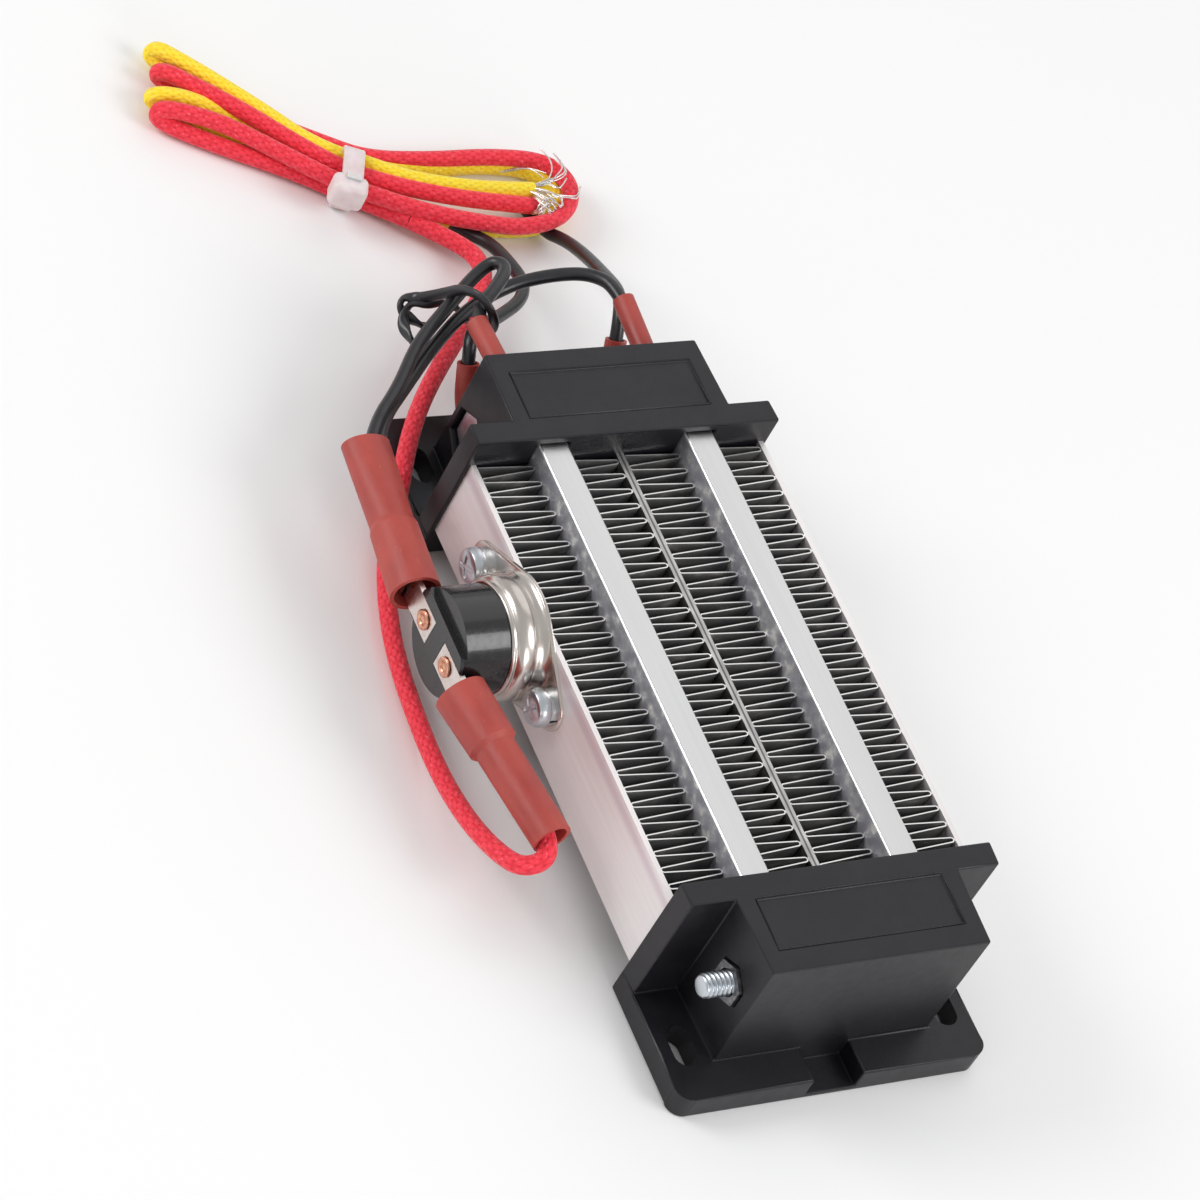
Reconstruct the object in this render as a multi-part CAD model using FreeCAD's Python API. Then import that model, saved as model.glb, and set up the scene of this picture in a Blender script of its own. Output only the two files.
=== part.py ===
import FreeCAD
import Part
import math
import os

# Positive-temperature-coefficient air heater element. All sizes are in millimetres.
# X runs along the element, away from the leads. Y runs across the fin rows. Z points to the front face.
# The origin lies midway between the four foot slots, on the plane of the foot backs.

V = FreeCAD.Vector

# Core: the finned part between the two end frames
core_length = 73.0
fin_row_width = 8.975
fin_depth = 14.0
fin_back = 5.6
fin_pitch = 2.61
fin_strip = 0.3
fin_tip_width = 0.75
strip_overhang = 0.2
divider_thickness = 0.61
side_plate_thickness = 0.8

# Ceramic heater tubes, each with a stack of chips between two electrodes
tube_width = 4.58
tube_wall = 0.87
tube_proud = 3.3
tube_run_in = 7.2
tube_corner = 0.4
film_wall = 0.12
film_setback = 0.6
electrode_thickness = 0.3
electrode_width = 15.6
electrode_setback = 1.2
tail_length = 4.4
chip_length = 24.0
chip_width = 15.0
chip_gap = 0.6
chips_per_tube = 3
tail_width = 2.0

# End frames: a plate across the core end, a box over the tube ends and a slotted foot
plate_thickness = 3.7
frame_width = 49.3
frame_height = 24.5
plate_draft = 0.18
box_length = 11.7
box_width_root = 35.4
box_width_end = 34.6
box_end_wall = 1.8
foot_thickness = 3.9
foot_reach = 17.2
foot_corner = 2.4
foot_notch_width = 10.4
foot_notch_centre_y = 1.6
foot_notch_floor = 0.7
slot_from_plate = 8.8
slot_centre_y = 20.8
slot_width = 3.6
slot_length = 6.4
label_recess_depth = 0.25
label_recess_width = 29.4
label_recess_length = 8.0
label_recess_start = 0.2
pocket_clearance = 0.3
lead_channel_width = 3.6
lightening_width = 15.0
lightening_wall = 2.0

# Clamp bolts through the boxes
clamp_bolt_radius = 1.95
clamp_bolt_clearance = 0.2
clamp_bolt_from_plate = 6.6
clamp_height_plain = 15.0
clamp_height_wire = 11.8
clamp_bolt_stick_out = 4.5
clamp_head_across = 7.0
clamp_head_height = 2.2
clamp_pocket_across = 7.8
clamp_pocket_depth = 3.2
clamp_nut_across = 5.5
clamp_nut_height = 2.2
clamp_nut_sunk = 1.8
clamp_nut_clearance = 0.1

# Thermal cutout on the side plate
cutout_x = -12.2
cutout_z = 13.3
cutout_screw_spacing = 24.0
flange_thickness = 0.5
flange_ear_radius = 3.5
flange_radius = 9.3
collar_radius = 9.0
collar_height = 2.1
collar_round = 0.5
cup_radius = 8.45
cup_wall = 0.35
rim_height = 3.8
bead_height = 2.4
ring_radius = 7.95
shoulder_height = 0.8
body_radius = 7.6
body_height = 6.7
body_chamfer = 0.35
body_cavity_depth = 4.0
body_cavity_radius = 5.2
bar_low = 2.4
bar_high = 4.4
bar_height = 0.8
disc_radius = 7.0
disc_thickness = 0.25
disc_rise = 0.5
pin_radius = 1.0
arm_thickness = 0.3
arm_width = 3.0
terminal_width = 4.6
terminal_thickness = 0.8
terminal_reach = 15.0
terminal_gap = 3.4
terminal_shift = 0.1
terminal_clearance = 0.1
rivet_offset = 4.0
rivet_head_radius = 1.25
rivet_head_height = 0.5
rivet_shank_radius = 0.7

# Cutout screws with their spring washers
screw_radius = 1.5
screw_head_radius = 2.75
screw_head_height = 2.1
screw_head_round = 0.9
washer_radius = 2.6
washer_thickness = 0.8
washer_gap = 0.5
washer_bore_clearance = 0.1

# Sleeves over the cutout's plugs. Each station is a distance along the plug,
# half width along Y, half height along Z
plug_start = 7.9
plug_lean_upper = 5.4
plug_lean_lower = 9.1
plug_sleeve_wall = 0.6
upper_sleeve_stations = [(0.5, 3.65, 3.6), (11.2, 3.45, 3.35), (12.2, 3.15, 3.05),
                         (19, 3.4, 2.8), (26.2, 3.6, 2.5)]
lower_sleeve_stations = [(0.6, 3.75, 3.7), (9.4, 3.5, 3.45), (10.1, 2.9, 2.85), (25.3, 2.85, 2.75)]

# Receptacles inside the plug sleeves
receptacle_start = 0.8
receptacle_length = 6.6
receptacle_sheet = 0.35
receptacle_barrel_radius = 1.9
receptacle_barrel_length = 7.4

# Sleeves over the leads, where they leave the box
lead_sleeve_radius = 1.6
lead_sleeve_wall = 0.45
lead_hole_clearance = 0.35
lead_below_front = 5.15
lead_height_back = 6.2
lead_sleeve_inside = 0.7

# Cords
black_radius = 1.0
red_radius = 1.35

# Lead bundle, folded flat and tied at its neck
hank_height = 6.0
hank_edge = 1.8
hank_neck = 6.4
tie_place = V(-102.3, -11.2, 0)
tie_angle = 65.0
tie_thickness = 0.9
tie_width = 2.6
tie_head_size = 5.0
tie_head_depth = 3.4
tie_head_lift = 1.6
twist_tie_radius = 0.8

# Places that follow from the sizes above
core_half = core_length / 2
plate_outer_x = core_half + plate_thickness
slot_centre_x = plate_outer_x + slot_from_plate
box_end_x = plate_outer_x + box_length
foot_end_x = plate_outer_x + foot_reach
sleeve_start_x = box_end_x - box_end_wall - lead_sleeve_inside
fin_front = fin_back + fin_depth
strip_back = fin_back - strip_overhang
strip_front = fin_front + strip_overhang
tube_back = fin_back - tube_proud
tube_front = fin_front + tube_proud
inner_row_y = divider_thickness
tube_inner_y = inner_row_y + fin_row_width
tube_outer_y = tube_inner_y + tube_width
tube_centre_y = (tube_inner_y + tube_outer_y) / 2
outer_row_end_y = tube_outer_y + fin_row_width
side_face_y = outer_row_end_y + side_plate_thickness
tube_end_x = core_half + tube_run_in
clamp_x = plate_outer_x + clamp_bolt_from_plate
lead_height_front = frame_height - lead_below_front
core_centre_z = (strip_back + strip_front) / 2
chip_thickness = tube_width - 2 * (tube_wall + film_wall + electrode_thickness)
film_end_x = tube_end_x - film_setback
electrode_end_x = tube_end_x - electrode_setback
tail_end_x = tube_end_x + tail_length
lead_y = tube_centre_y + chip_thickness / 2 - black_radius
cutout_centre = V(cutout_x, -side_face_y, cutout_z)
collar_top = flange_thickness + collar_height
cup_top = collar_top + rim_height
shoulder_radius = cup_radius - cup_wall
body_foot = collar_top
shoulder_top = body_foot + shoulder_height
body_top = cup_top + body_height
chamber_top = body_foot + body_cavity_depth
barrel_end = receptacle_start + receptacle_length + receptacle_barrel_length


def block(x0, x1, y0, y1, z0, z1):
    """Box between two corners."""
    return Part.makeBox(x1 - x0, y1 - y0, z1 - z0, V(x0, y0, z0))


def rod(start, end, radius):
    """Cylinder from one point to another."""
    line = end - start
    return Part.makeCylinder(radius, line.Length, start, line)


def prism(points, direction):
    """Polygon through the points, extruded along a vector."""
    wire = Part.makePolygon(points + [points[0]])
    return Part.Face(wire).extrude(direction)


def hexagon(centre, across_flats, direction):
    """Hexagonal prism whose axis lies along Y, with two flats square to X."""
    corner = across_flats / math.sqrt(3)
    angles = [math.radians(30 + 60 * k) for k in range(6)]
    points = [centre + V(corner * math.cos(a), 0, corner * math.sin(a)) for a in angles]
    return prism(points, direction)


def revolved(profile, centre):
    """Profile of (radius, height) points turned about the cutout's axis, with height along -Y."""
    points = [V(r, -h, 0) for r, h in profile]
    face = Part.Face(Part.makePolygon(points + [points[0]]))
    solid = face.revolve(V(0, 0, 0), V(0, 1, 0), 360)
    solid.translate(centre)
    return solid


def centreline(name, points):
    """Straight runs joined by tangent arcs, one arc at each inner point."""
    runs = [(b - a).Length for a, b in zip(points, points[1:])]
    edges = []
    radii = []
    last = points[0]
    for k in range(1, len(points) - 1):
        before = (points[k - 1] - points[k]).normalize()
        after = (points[k + 1] - points[k]).normalize()
        half_turn = (math.pi - before.getAngle(after)) / 2
        reach = 0.45 * min(runs[k - 1], runs[k])
        radii.append(reach / math.tan(half_turn))
        arc_start = points[k] + before * reach
        arc_end = points[k] + after * reach
        inward = (before + after).normalize()
        arc_middle = points[k] + inward * (radii[-1] / math.cos(half_turn) - radii[-1])
        edges.append(Part.LineSegment(last, arc_start).toShape())
        edges.append(Part.Arc(arc_start, arc_middle, arc_end).toShape())
        last = arc_end
    edges.append(Part.LineSegment(last, points[-1]).toShape())
    print(name, "length", round(sum(e.Length for e in edges), 1), "arc radii", [round(r, 1) for r in radii])
    return Part.Wire(edges)


def swept(path, radius):
    """Round bar along a centreline."""
    start = path.Edges[0].Vertexes[0].Point
    tangent = path.Edges[0].tangentAt(path.Edges[0].FirstParameter)
    circle = Part.Wire(Part.Circle(start, tangent, radius).toShape())
    return path.makePipeShell([circle], True, False)


def group(solids):
    """Several separate solids kept in one node."""
    return Part.makeCompound(solids)


def save(name, shape):
    shape.exportStep("parts/" + name + ".step")


def turned(shape):
    """The same part half a turn round the Z axis, at the other end."""
    copy = shape.copy()
    copy.rotate(V(0, 0, 0), V(0, 0, 1), 180)
    return copy


def end_frame(clamp_height, with_lead_holes):
    """Moulded frame at the +X end: plate, box and foot in one piece."""
    half = frame_width / 2
    inner_face = [V(core_half, -half, 0), V(core_half, half, 0),
                  V(core_half, half, frame_height), V(core_half, -half, frame_height)]
    outer_half = half - plate_draft
    outer_face = [V(plate_outer_x, -outer_half, 0), V(plate_outer_x, outer_half, 0),
                  V(plate_outer_x, outer_half, frame_height), V(plate_outer_x, -outer_half, frame_height)]
    plate = Part.makeLoft([Part.makePolygon(f + [f[0]]) for f in (inner_face, outer_face)], True)
    foot = block(core_half, foot_end_x, -half, half, 0, foot_thickness)
    foot = foot.makeFillet(foot_corner, [e for e in foot.Edges if is_foot_corner(e)])
    root = box_width_root / 2
    end = box_width_end / 2
    box = prism([V(plate_outer_x - 1, -root, 0), V(plate_outer_x, -root, 0), V(box_end_x, -end, 0),
                 V(box_end_x, end, 0), V(plate_outer_x, root, 0), V(plate_outer_x - 1, root, 0)],
                V(0, 0, frame_height))
    frame = plate.fuse(foot).fuse(box).removeSplitter()
    cuts = []
    for side in (-1, 1):
        centre = side * tube_centre_y
        reach = tube_width / 2 + pocket_clearance
        cuts.append(block(core_half - 1, tube_end_x + pocket_clearance, centre - reach, centre + reach,
                          tube_back - pocket_clearance, tube_front + pocket_clearance))
        channel = lead_channel_width / 2
        cuts.append(block(tube_end_x, box_end_x - box_end_wall, centre - channel, centre + channel,
                          tube_back - pocket_clearance, tube_front + pocket_clearance))
        cuts.append(foot_slot(side * slot_centre_y))
        if with_lead_holes:
            for height in (lead_height_front, lead_height_back):
                hole_start = V(box_end_x - box_end_wall - 1, centre, height)
                hole_end = V(box_end_x + 1, centre, height)
                cuts.append(rod(hole_start, hole_end, lead_sleeve_radius + lead_hole_clearance))
    lightening_x = plate_outer_x + lightening_wall
    cuts.append(block(lightening_x, box_end_x - box_end_wall, -lightening_width / 2, lightening_width / 2,
                      -1, frame_height - lightening_wall))
    cuts.append(block(box_end_x, foot_end_x + 1, foot_notch_centre_y - foot_notch_width / 2,
                      foot_notch_centre_y + foot_notch_width / 2, foot_notch_floor, foot_thickness + 1))
    recess_x = plate_outer_x + label_recess_start
    recess_half = label_recess_width / 2
    cuts.append(block(recess_x, recess_x + label_recess_length, -recess_half, recess_half,
                      frame_height - label_recess_depth, frame_height + 1))
    cuts.append(rod(V(clamp_x, -half, clamp_height), V(clamp_x, half, clamp_height),
                    clamp_bolt_radius + clamp_bolt_clearance))
    wall_y = wall_at(clamp_x)
    pocket_seat = V(clamp_x, wall_y - clamp_pocket_depth, clamp_height)
    cuts.append(hexagon(pocket_seat, clamp_pocket_across, V(0, half, 0)))
    cuts.append(hexagon(V(clamp_x, -half, clamp_height), clamp_nut_across + 2 * clamp_nut_clearance,
                        V(0, half - wall_y + clamp_nut_sunk, 0)))
    return frame.cut(cuts[0].multiFuse(cuts[1:]))


def is_foot_corner(edge):
    """True for the upright edges at the foot's outer corners."""
    a, b = [v.Point for v in edge.Vertexes]
    return abs(a.x - foot_end_x) < 0.01 and abs(b.x - foot_end_x) < 0.01 and abs(a.z - b.z) > 1


def foot_slot(y):
    """Round-ended slot through the foot, long way along X."""
    straight = (slot_length - slot_width) / 2
    slot = block(slot_centre_x - straight, slot_centre_x + straight, y - slot_width / 2, y + slot_width / 2,
                 -1, foot_thickness + 1)
    for x in (slot_centre_x - straight, slot_centre_x + straight):
        slot = slot.fuse(rod(V(x, y, -1), V(x, y, foot_thickness + 1), slot_width / 2))
    return slot


def wall_at(x):
    """Half width of the box at a place along X, which narrows towards its end."""
    share = (x - plate_outer_x) / box_length
    return box_width_root / 2 + (box_width_end - box_width_root) / 2 * share


def fin_row(y0, y1):
    """Corrugated strip between two faces, with flat tips that touch them."""
    tips = int(2 * (core_length - fin_tip_width) / fin_pitch) + 1
    first = -(tips - 1) * fin_pitch / 4
    middle = []
    for k in range(tips):
        x = first + k * fin_pitch / 2
        y = (y1 - fin_strip / 2) if k % 2 == 0 else (y0 + fin_strip / 2)
        half_tip = (fin_tip_width - fin_strip) / 2
        middle += [V(x - half_tip, y, fin_back), V(x + half_tip, y, fin_back)]
    outline = offset_line(middle, fin_strip / 2) + offset_line(middle, -fin_strip / 2)[::-1]
    return prism(outline, V(0, 0, fin_depth))


def offset_line(points, distance):
    """Line of points moved sideways, mitred at its corners."""
    moved = []
    for k, point in enumerate(points):
        before = points[k] - points[k - 1] if k > 0 else points[1] - points[0]
        after = points[k + 1] - point if k < len(points) - 1 else before
        before = before.normalize()
        after = after.normalize()
        side = V(-before.y - after.y, before.x + after.x, 0).normalize()
        stretch = side.dot(V(-after.y, after.x, 0))
        moved.append(point + side * (distance / stretch))
    return moved


def upright_strip(y0, y1):
    """Flat strip on edge between the two end frames."""
    return block(-core_half, core_half, y0, y1, strip_back, strip_front)


def mirrored(shape):
    """The same piece on the other side of the XZ plane."""
    return shape.mirror(V(0, 0, 0), V(0, 1, 0))


def heater_tube():
    """Aluminium tube of the +Y side, open at both ends."""
    outer = block(-tube_end_x, tube_end_x, tube_inner_y, tube_outer_y, tube_back, tube_front)
    outer = outer.makeFillet(tube_corner, [e for e in outer.Edges if abs(e.Length - 2 * tube_end_x) < 0.01])
    inner = block(-tube_end_x - 1, tube_end_x + 1, tube_inner_y + tube_wall, tube_outer_y - tube_wall,
                  tube_back + tube_wall, tube_front - tube_wall)
    return outer.cut(inner)


def tube_film():
    """Insulating film wrapped round the stack, against the tube's bore."""
    y0 = tube_inner_y + tube_wall
    y1 = tube_outer_y - tube_wall
    z0 = tube_back + tube_wall
    z1 = tube_front - tube_wall
    outer = block(-film_end_x, film_end_x, y0, y1, z0, z1)
    inner = block(-film_end_x - 1, film_end_x + 1, y0 + film_wall, y1 - film_wall,
                  z0 + film_wall, z1 - film_wall)
    return outer.cut(inner)


def electrode(side, tail_height):
    """Contact strip on one face of the chips, with a tail out to its lead."""
    y0 = tube_centre_y + chip_thickness / 2
    strip = block(-electrode_end_x, electrode_end_x, y0, y0 + electrode_thickness,
                  core_centre_z - electrode_width / 2, core_centre_z + electrode_width / 2)
    tail = block(-tail_end_x, -electrode_end_x, y0, y0 + electrode_thickness,
                 tail_height - tail_width / 2, tail_height + tail_width / 2)
    whole = strip.fuse(tail).removeSplitter()
    if side < 0:
        whole = whole.mirror(V(0, tube_centre_y, 0), V(0, 1, 0))
    return whole


def chips():
    """Row of ceramic chips, one after another along the tube."""
    pitch = chip_length + chip_gap
    row = []
    for k in range(chips_per_tube):
        x = (k - (chips_per_tube - 1) / 2) * pitch
        row.append(block(x - chip_length / 2, x + chip_length / 2,
                         tube_centre_y - chip_thickness / 2, tube_centre_y + chip_thickness / 2,
                         core_centre_z - chip_width / 2, core_centre_z + chip_width / 2))
    return row


def clamp_bolt(height):
    """Hexagon bolt through the box of the +X end, head on the +Y side."""
    seat_y = wall_at(clamp_x) - clamp_pocket_depth
    head = hexagon(V(clamp_x, seat_y, height), clamp_head_across, V(0, clamp_head_height, 0))
    tip_y = -wall_at(clamp_x) - clamp_bolt_stick_out
    shank = rod(V(clamp_x, tip_y, height), V(clamp_x, seat_y, height), clamp_bolt_radius)
    tip = [e for e in shank.Edges if abs(e.BoundBox.YMax - tip_y) < 0.01]
    shank = shank.makeChamfer(clamp_bolt_radius / 5, tip)
    return head.fuse(shank)


def clamp_nut(height):
    """Nut sunk part way into the wall on the -Y side."""
    inner_y = -wall_at(clamp_x) + clamp_nut_sunk
    nut_face = V(clamp_x, inner_y - clamp_nut_height, height)
    nut = hexagon(nut_face, clamp_nut_across, V(0, clamp_nut_height, 0))
    bore_start = V(clamp_x, inner_y - clamp_nut_height - 1, height)
    bore = rod(bore_start, V(clamp_x, inner_y + 1, height), clamp_bolt_radius)
    return nut.cut(bore)


def cutout_flange():
    """Stamped flange: two ears and a drawn collar round the cup."""
    centre = V(0, 0, 0)
    disc = rod(centre, V(0, -flange_thickness, 0), flange_radius)
    for side in (-1, 1):
        ear_x = side * cutout_screw_spacing / 2
        disc = disc.fuse(rod(V(ear_x, 0, 0), V(ear_x, -flange_thickness, 0), flange_ear_radius))
        disc = disc.fuse(ear_web(side))
    collar = rod(centre, V(0, -collar_top, 0), collar_radius)
    rim = [e for e in collar.Edges if abs(e.BoundBox.YMax + collar_top) < 0.01]
    whole = disc.fuse(collar.makeFillet(collar_round, rim)).removeSplitter()
    whole = whole.cut(rod(V(0, 1, 0), V(0, -collar_top - 1, 0), cup_radius))
    for side in (-1, 1):
        ear_x = side * cutout_screw_spacing / 2
        whole = whole.cut(rod(V(ear_x, 1, 0), V(ear_x, -flange_thickness - 1, 0), screw_radius))
    whole.translate(cutout_centre)
    return whole


def ear_web(side):
    """Part of the flange between the collar and one ear, with sides tangent to both."""
    spread = math.acos((flange_radius - flange_ear_radius) / (cutout_screw_spacing / 2))
    ear_x = side * cutout_screw_spacing / 2
    points = []
    for up in (-1, 1):
        along = V(side * math.cos(spread), 0, up * math.sin(spread))
        pair = [along * flange_radius, V(ear_x, 0, 0) + along * flange_ear_radius]
        points += pair if up < 0 else pair[::-1]
    return prism(points, V(0, -flange_thickness, 0))


def cutout_cup():
    """Drawn metal cup that holds the disc, with a bead over the body's shoulder."""
    profile = [(0, 0), (cup_radius, 0), (cup_radius, collar_top)]
    for k in range(5):
        angle = math.pi / 2 * k / 4
        profile.append((ring_radius + (collar_radius - ring_radius) * math.cos(angle),
                        collar_top + bead_height * math.sin(angle)))
    profile += [(ring_radius, cup_top), (body_radius, cup_top), (body_radius, shoulder_top),
                (shoulder_radius, shoulder_top), (shoulder_radius, cup_wall), (0, cup_wall)]
    return revolved(profile, cutout_centre)


def cutout_body():
    """Moulded body with a contact chamber and a raised bar that carries the terminals."""
    shoulder = rod(V(0, -body_foot, 0), V(0, -shoulder_top, 0), shoulder_radius)
    barrel = rod(V(0, -body_foot, 0), V(0, -body_top, 0), body_radius)
    end = [e for e in barrel.Edges if abs(e.BoundBox.YMax + body_top) < 0.01]
    body = shoulder.fuse(barrel.makeChamfer(body_chamfer, end)).removeSplitter()
    for z0, z1 in ((-2 * body_radius, -bar_low), (bar_high, 2 * body_radius)):
        body = body.cut(block(-2 * body_radius, 2 * body_radius, -body_top - 1, -body_top + bar_height,
                              z0, z1))
    body = body.cut(rod(V(0, 0, 0), V(0, -body_foot - body_cavity_depth, 0), body_cavity_radius))
    for side in (-1, 1):
        inner_x = terminal_gap / 2 - terminal_clearance
        x0, x1 = sorted((side * inner_x, side * 2 * body_radius))
        body = body.cut(block(x0, x1, -body_top - 1, -body_top + terminal_thickness,
                              terminal_shift - terminal_width / 2 - terminal_clearance,
                              terminal_shift + terminal_width / 2 + terminal_clearance))
        rivet_x = side * rivet_offset
        body = body.cut(rod(V(rivet_x, -body_top - 1, terminal_shift), V(rivet_x, 0, terminal_shift),
                            rivet_shank_radius))
    body.translate(cutout_centre)
    return body


def cutout_terminal(side, lean):
    """Flat tab that bends towards the core where it leaves the body."""
    face_y = -body_top
    inner_y = face_y + terminal_thickness
    angle = math.radians(lean)
    half_sheet = V(-math.sin(angle), math.cos(angle), 0) * (terminal_thickness / 2)
    mitre = terminal_thickness / 2 * math.tan(angle / 2)
    tip = V(plug_start, face_y + terminal_thickness / 2, 0)
    tip += V(math.cos(angle), math.sin(angle), 0) * (terminal_reach - plug_start)
    low = V(0, 0, terminal_shift - terminal_width / 2)
    points = [V(terminal_gap / 2, face_y, 0), V(plug_start + mitre, face_y, 0), tip - half_sheet,
              tip + half_sheet, V(plug_start - mitre, inner_y, 0), V(terminal_gap / 2, inner_y, 0)]
    tab = prism([p + low for p in points], V(0, 0, terminal_width))
    hole_start = V(rivet_offset, face_y - 1, terminal_shift)
    tab = tab.cut(rod(hole_start, V(rivet_offset, inner_y + 1, terminal_shift), rivet_shank_radius))
    if side < 0:
        tab = tab.mirror(V(0, 0, 0), V(1, 0, 0))
    tab.translate(cutout_centre)
    return tab


def cutout_rivets():
    """Two rivets through the tabs, down into the contact chamber."""
    rivets = []
    for side in (-1, 1):
        x = side * rivet_offset
        head = rod(V(x, -body_top, terminal_shift), V(x, -body_top - rivet_head_height, terminal_shift),
                   rivet_head_radius)
        crown = [e for e in head.Edges if abs(e.BoundBox.YMax + body_top + rivet_head_height) < 0.01]
        head = head.makeFillet(rivet_head_height * 0.6, crown)
        shank = rod(V(x, -body_top, terminal_shift), V(x, -chamber_top, terminal_shift), rivet_shank_radius)
        rivets.append(head.fuse(shank))
    whole = group(rivets)
    whole.translate(cutout_centre)
    return whole


def cutout_disc():
    """Domed snap disc in the bottom of the cup."""
    crown = cup_wall + disc_rise
    profile = [(0, crown), (disc_radius / 2, cup_wall + disc_rise * 0.75), (disc_radius, cup_wall),
               (disc_radius, cup_wall + disc_thickness),
               (disc_radius / 2, cup_wall + disc_rise * 0.75 + disc_thickness), (0, crown + disc_thickness)]
    return revolved(profile, cutout_centre)


def cutout_pin():
    """Push pin from the disc to the contact arm."""
    start = V(0, -(cup_wall + disc_rise + disc_thickness), 0)
    pin = rod(start, V(0, -(chamber_top - arm_thickness), 0), pin_radius)
    pin.translate(cutout_centre)
    return pin


def cutout_arm():
    """Contact arm across the two rivets at the top of the chamber."""
    reach = rivet_offset + rivet_shank_radius
    arm = block(-reach, reach, -chamber_top, -(chamber_top - arm_thickness), -arm_width / 2, arm_width / 2)
    arm.translate(cutout_centre)
    return arm


def screw_places():
    """Points on the flange's front under the two screw heads."""
    return [cutout_centre + V(side * cutout_screw_spacing / 2, -flange_thickness, 0) for side in (-1, 1)]


def cutout_screws():
    """Pan head screws, their shanks flush with the side plate's inner face."""
    screws = []
    for place in screw_places():
        seat = place + V(0, -washer_thickness, 0)
        top = seat + V(0, -screw_head_height, 0)
        head = rod(seat, top, screw_head_radius)
        crown = [e for e in head.Edges if abs(e.BoundBox.YMax - top.y) < 0.01]
        head = head.makeFillet(screw_head_round, crown)
        shank = rod(seat, place + V(0, flange_thickness + side_plate_thickness, 0), screw_radius)
        screws.append(head.fuse(shank))
    return group(screws)


def cutout_spring_washers():
    """Split washers under the screw heads."""
    washers = []
    for place in screw_places():
        top = place + V(0, -washer_thickness, 0)
        ring = rod(place, top, washer_radius).cut(rod(place, top, screw_radius + washer_bore_clearance))
        split = block(place.x, place.x + 2 * washer_radius, top.y, place.y,
                      place.z - washer_gap / 2, place.z + washer_gap / 2)
        washers.append(ring.cut(split))
    return group(washers)


def side_plate(with_cutout_holes):
    """Aluminium strip that closes the core along one side."""
    strip = upright_strip(outer_row_end_y, side_face_y)
    if with_cutout_holes:
        strip = mirrored(strip)
        for place in screw_places():
            strip = strip.cut(rod(place + V(0, -5, 0), place + V(0, 5, 0), screw_radius))
    return strip


def in_plug_frame(shape, side, lean):
    """Moves a shape drawn along +X to the start of a plug sleeve."""
    turn = lean if side > 0 else 180 - lean
    shape.rotate(V(0, 0, 0), V(0, 0, 1), turn)
    shape.translate(plug_origin(side))
    return shape


def plug_origin(side):
    """Middle of a tab where it bends, which is the mouth of its sleeve."""
    return cutout_centre + V(side * plug_start, -body_top + terminal_thickness / 2, terminal_shift)


def plug_point(side, lean, along, across=0.0, up=0.0):
    """Point at a distance along a plug's axis, across towards the core and up."""
    angle = math.radians(lean)
    direction = V(side * math.cos(angle), math.sin(angle), 0)
    inward = V(-side * math.sin(angle), math.cos(angle), 0)
    return plug_origin(side) + direction * along + inward * across + V(0, 0, up)


def sleeve_loft(stations, shrink):
    """Skin over ovals, each with a place along X, a half width along Y and a half height along Z."""
    wires = []
    for x, half_width, half_height in stations:
        oval = Part.Ellipse(V(x, half_width - shrink, 0), V(x, 0, half_height - shrink), V(x, 0, 0))
        wires.append(Part.Wire(oval.toShape()))
    return Part.makeLoft(wires, True, True)


def plug_sleeve(side, lean, stations):
    """Stepped sleeve over one plug."""
    outer = sleeve_loft(stations, 0)
    longer = [(x + (-1 if k == 0 else 1 if k == len(stations) - 1 else 0), w, h)
              for k, (x, w, h) in enumerate(stations)]
    sleeve = outer.cut(sleeve_loft(longer, plug_sleeve_wall))
    return in_plug_frame(sleeve, side, lean)


def receptacle(side, lean):
    """Folded receptacle on the tab, with a crimped barrel on the lead."""
    half = terminal_width / 2 + terminal_clearance
    outer = half + receptacle_sheet
    low = terminal_thickness / 2
    top = low + receptacle_sheet
    lip = half / 2
    points = [(top, -outer), (top, outer), (-top, outer), (-top, half - lip), (-low, half - lip),
              (-low, half), (low, half), (low, -half), (-low, -half), (-low, lip - half),
              (-top, lip - half), (-top, -outer)]
    channel = prism([V(receptacle_start, y, z) for y, z in points], V(receptacle_length, 0, 0))
    barrel_start = receptacle_start + receptacle_length
    barrel = rod(V(barrel_start, 0, 0), V(barrel_end, 0, 0), receptacle_barrel_radius)
    return in_plug_frame(channel.fuse(barrel), side, lean)


def lead_sleeve(points):
    """Soft sleeve where a lead leaves the box."""
    path = centreline("lead sleeve", points)
    return swept(path, lead_sleeve_radius).cut(swept(path, lead_sleeve_radius - lead_sleeve_wall))


def lead_hank():
    """Red and yellow leads folded into one flat bundle, as its outer shape."""
    outline = [V(x, y, 0) for x, y in hank_outline]
    body = prism(outline, V(0, 0, hank_height))
    upper = [e for e in body.Edges if e.BoundBox.ZMin > hank_height - 0.01]
    return body.makeChamfer(hank_edge, upper)


def cable_tie():
    """Strap round the neck of the bundle, with its head on the side nearer the core."""
    half_neck = hank_neck / 2
    outer = block(-tie_width / 2, tie_width / 2, -half_neck - tie_thickness, half_neck + tie_thickness,
                  0, hank_height + tie_thickness)
    inner = block(-tie_width, tie_width, -half_neck, half_neck, tie_thickness, hank_height)
    head = block(-tie_head_size / 2, tie_head_size / 2, -half_neck - tie_thickness - tie_head_depth,
                 -half_neck - tie_thickness, tie_head_lift, tie_head_lift + tie_head_size)
    tie = outer.cut(inner).fuse(head)
    tie.rotate(V(0, 0, 0), V(0, 0, 1), tie_angle)
    tie.translate(tie_place)
    return tie


os.makedirs("parts", exist_ok=True)

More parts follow.
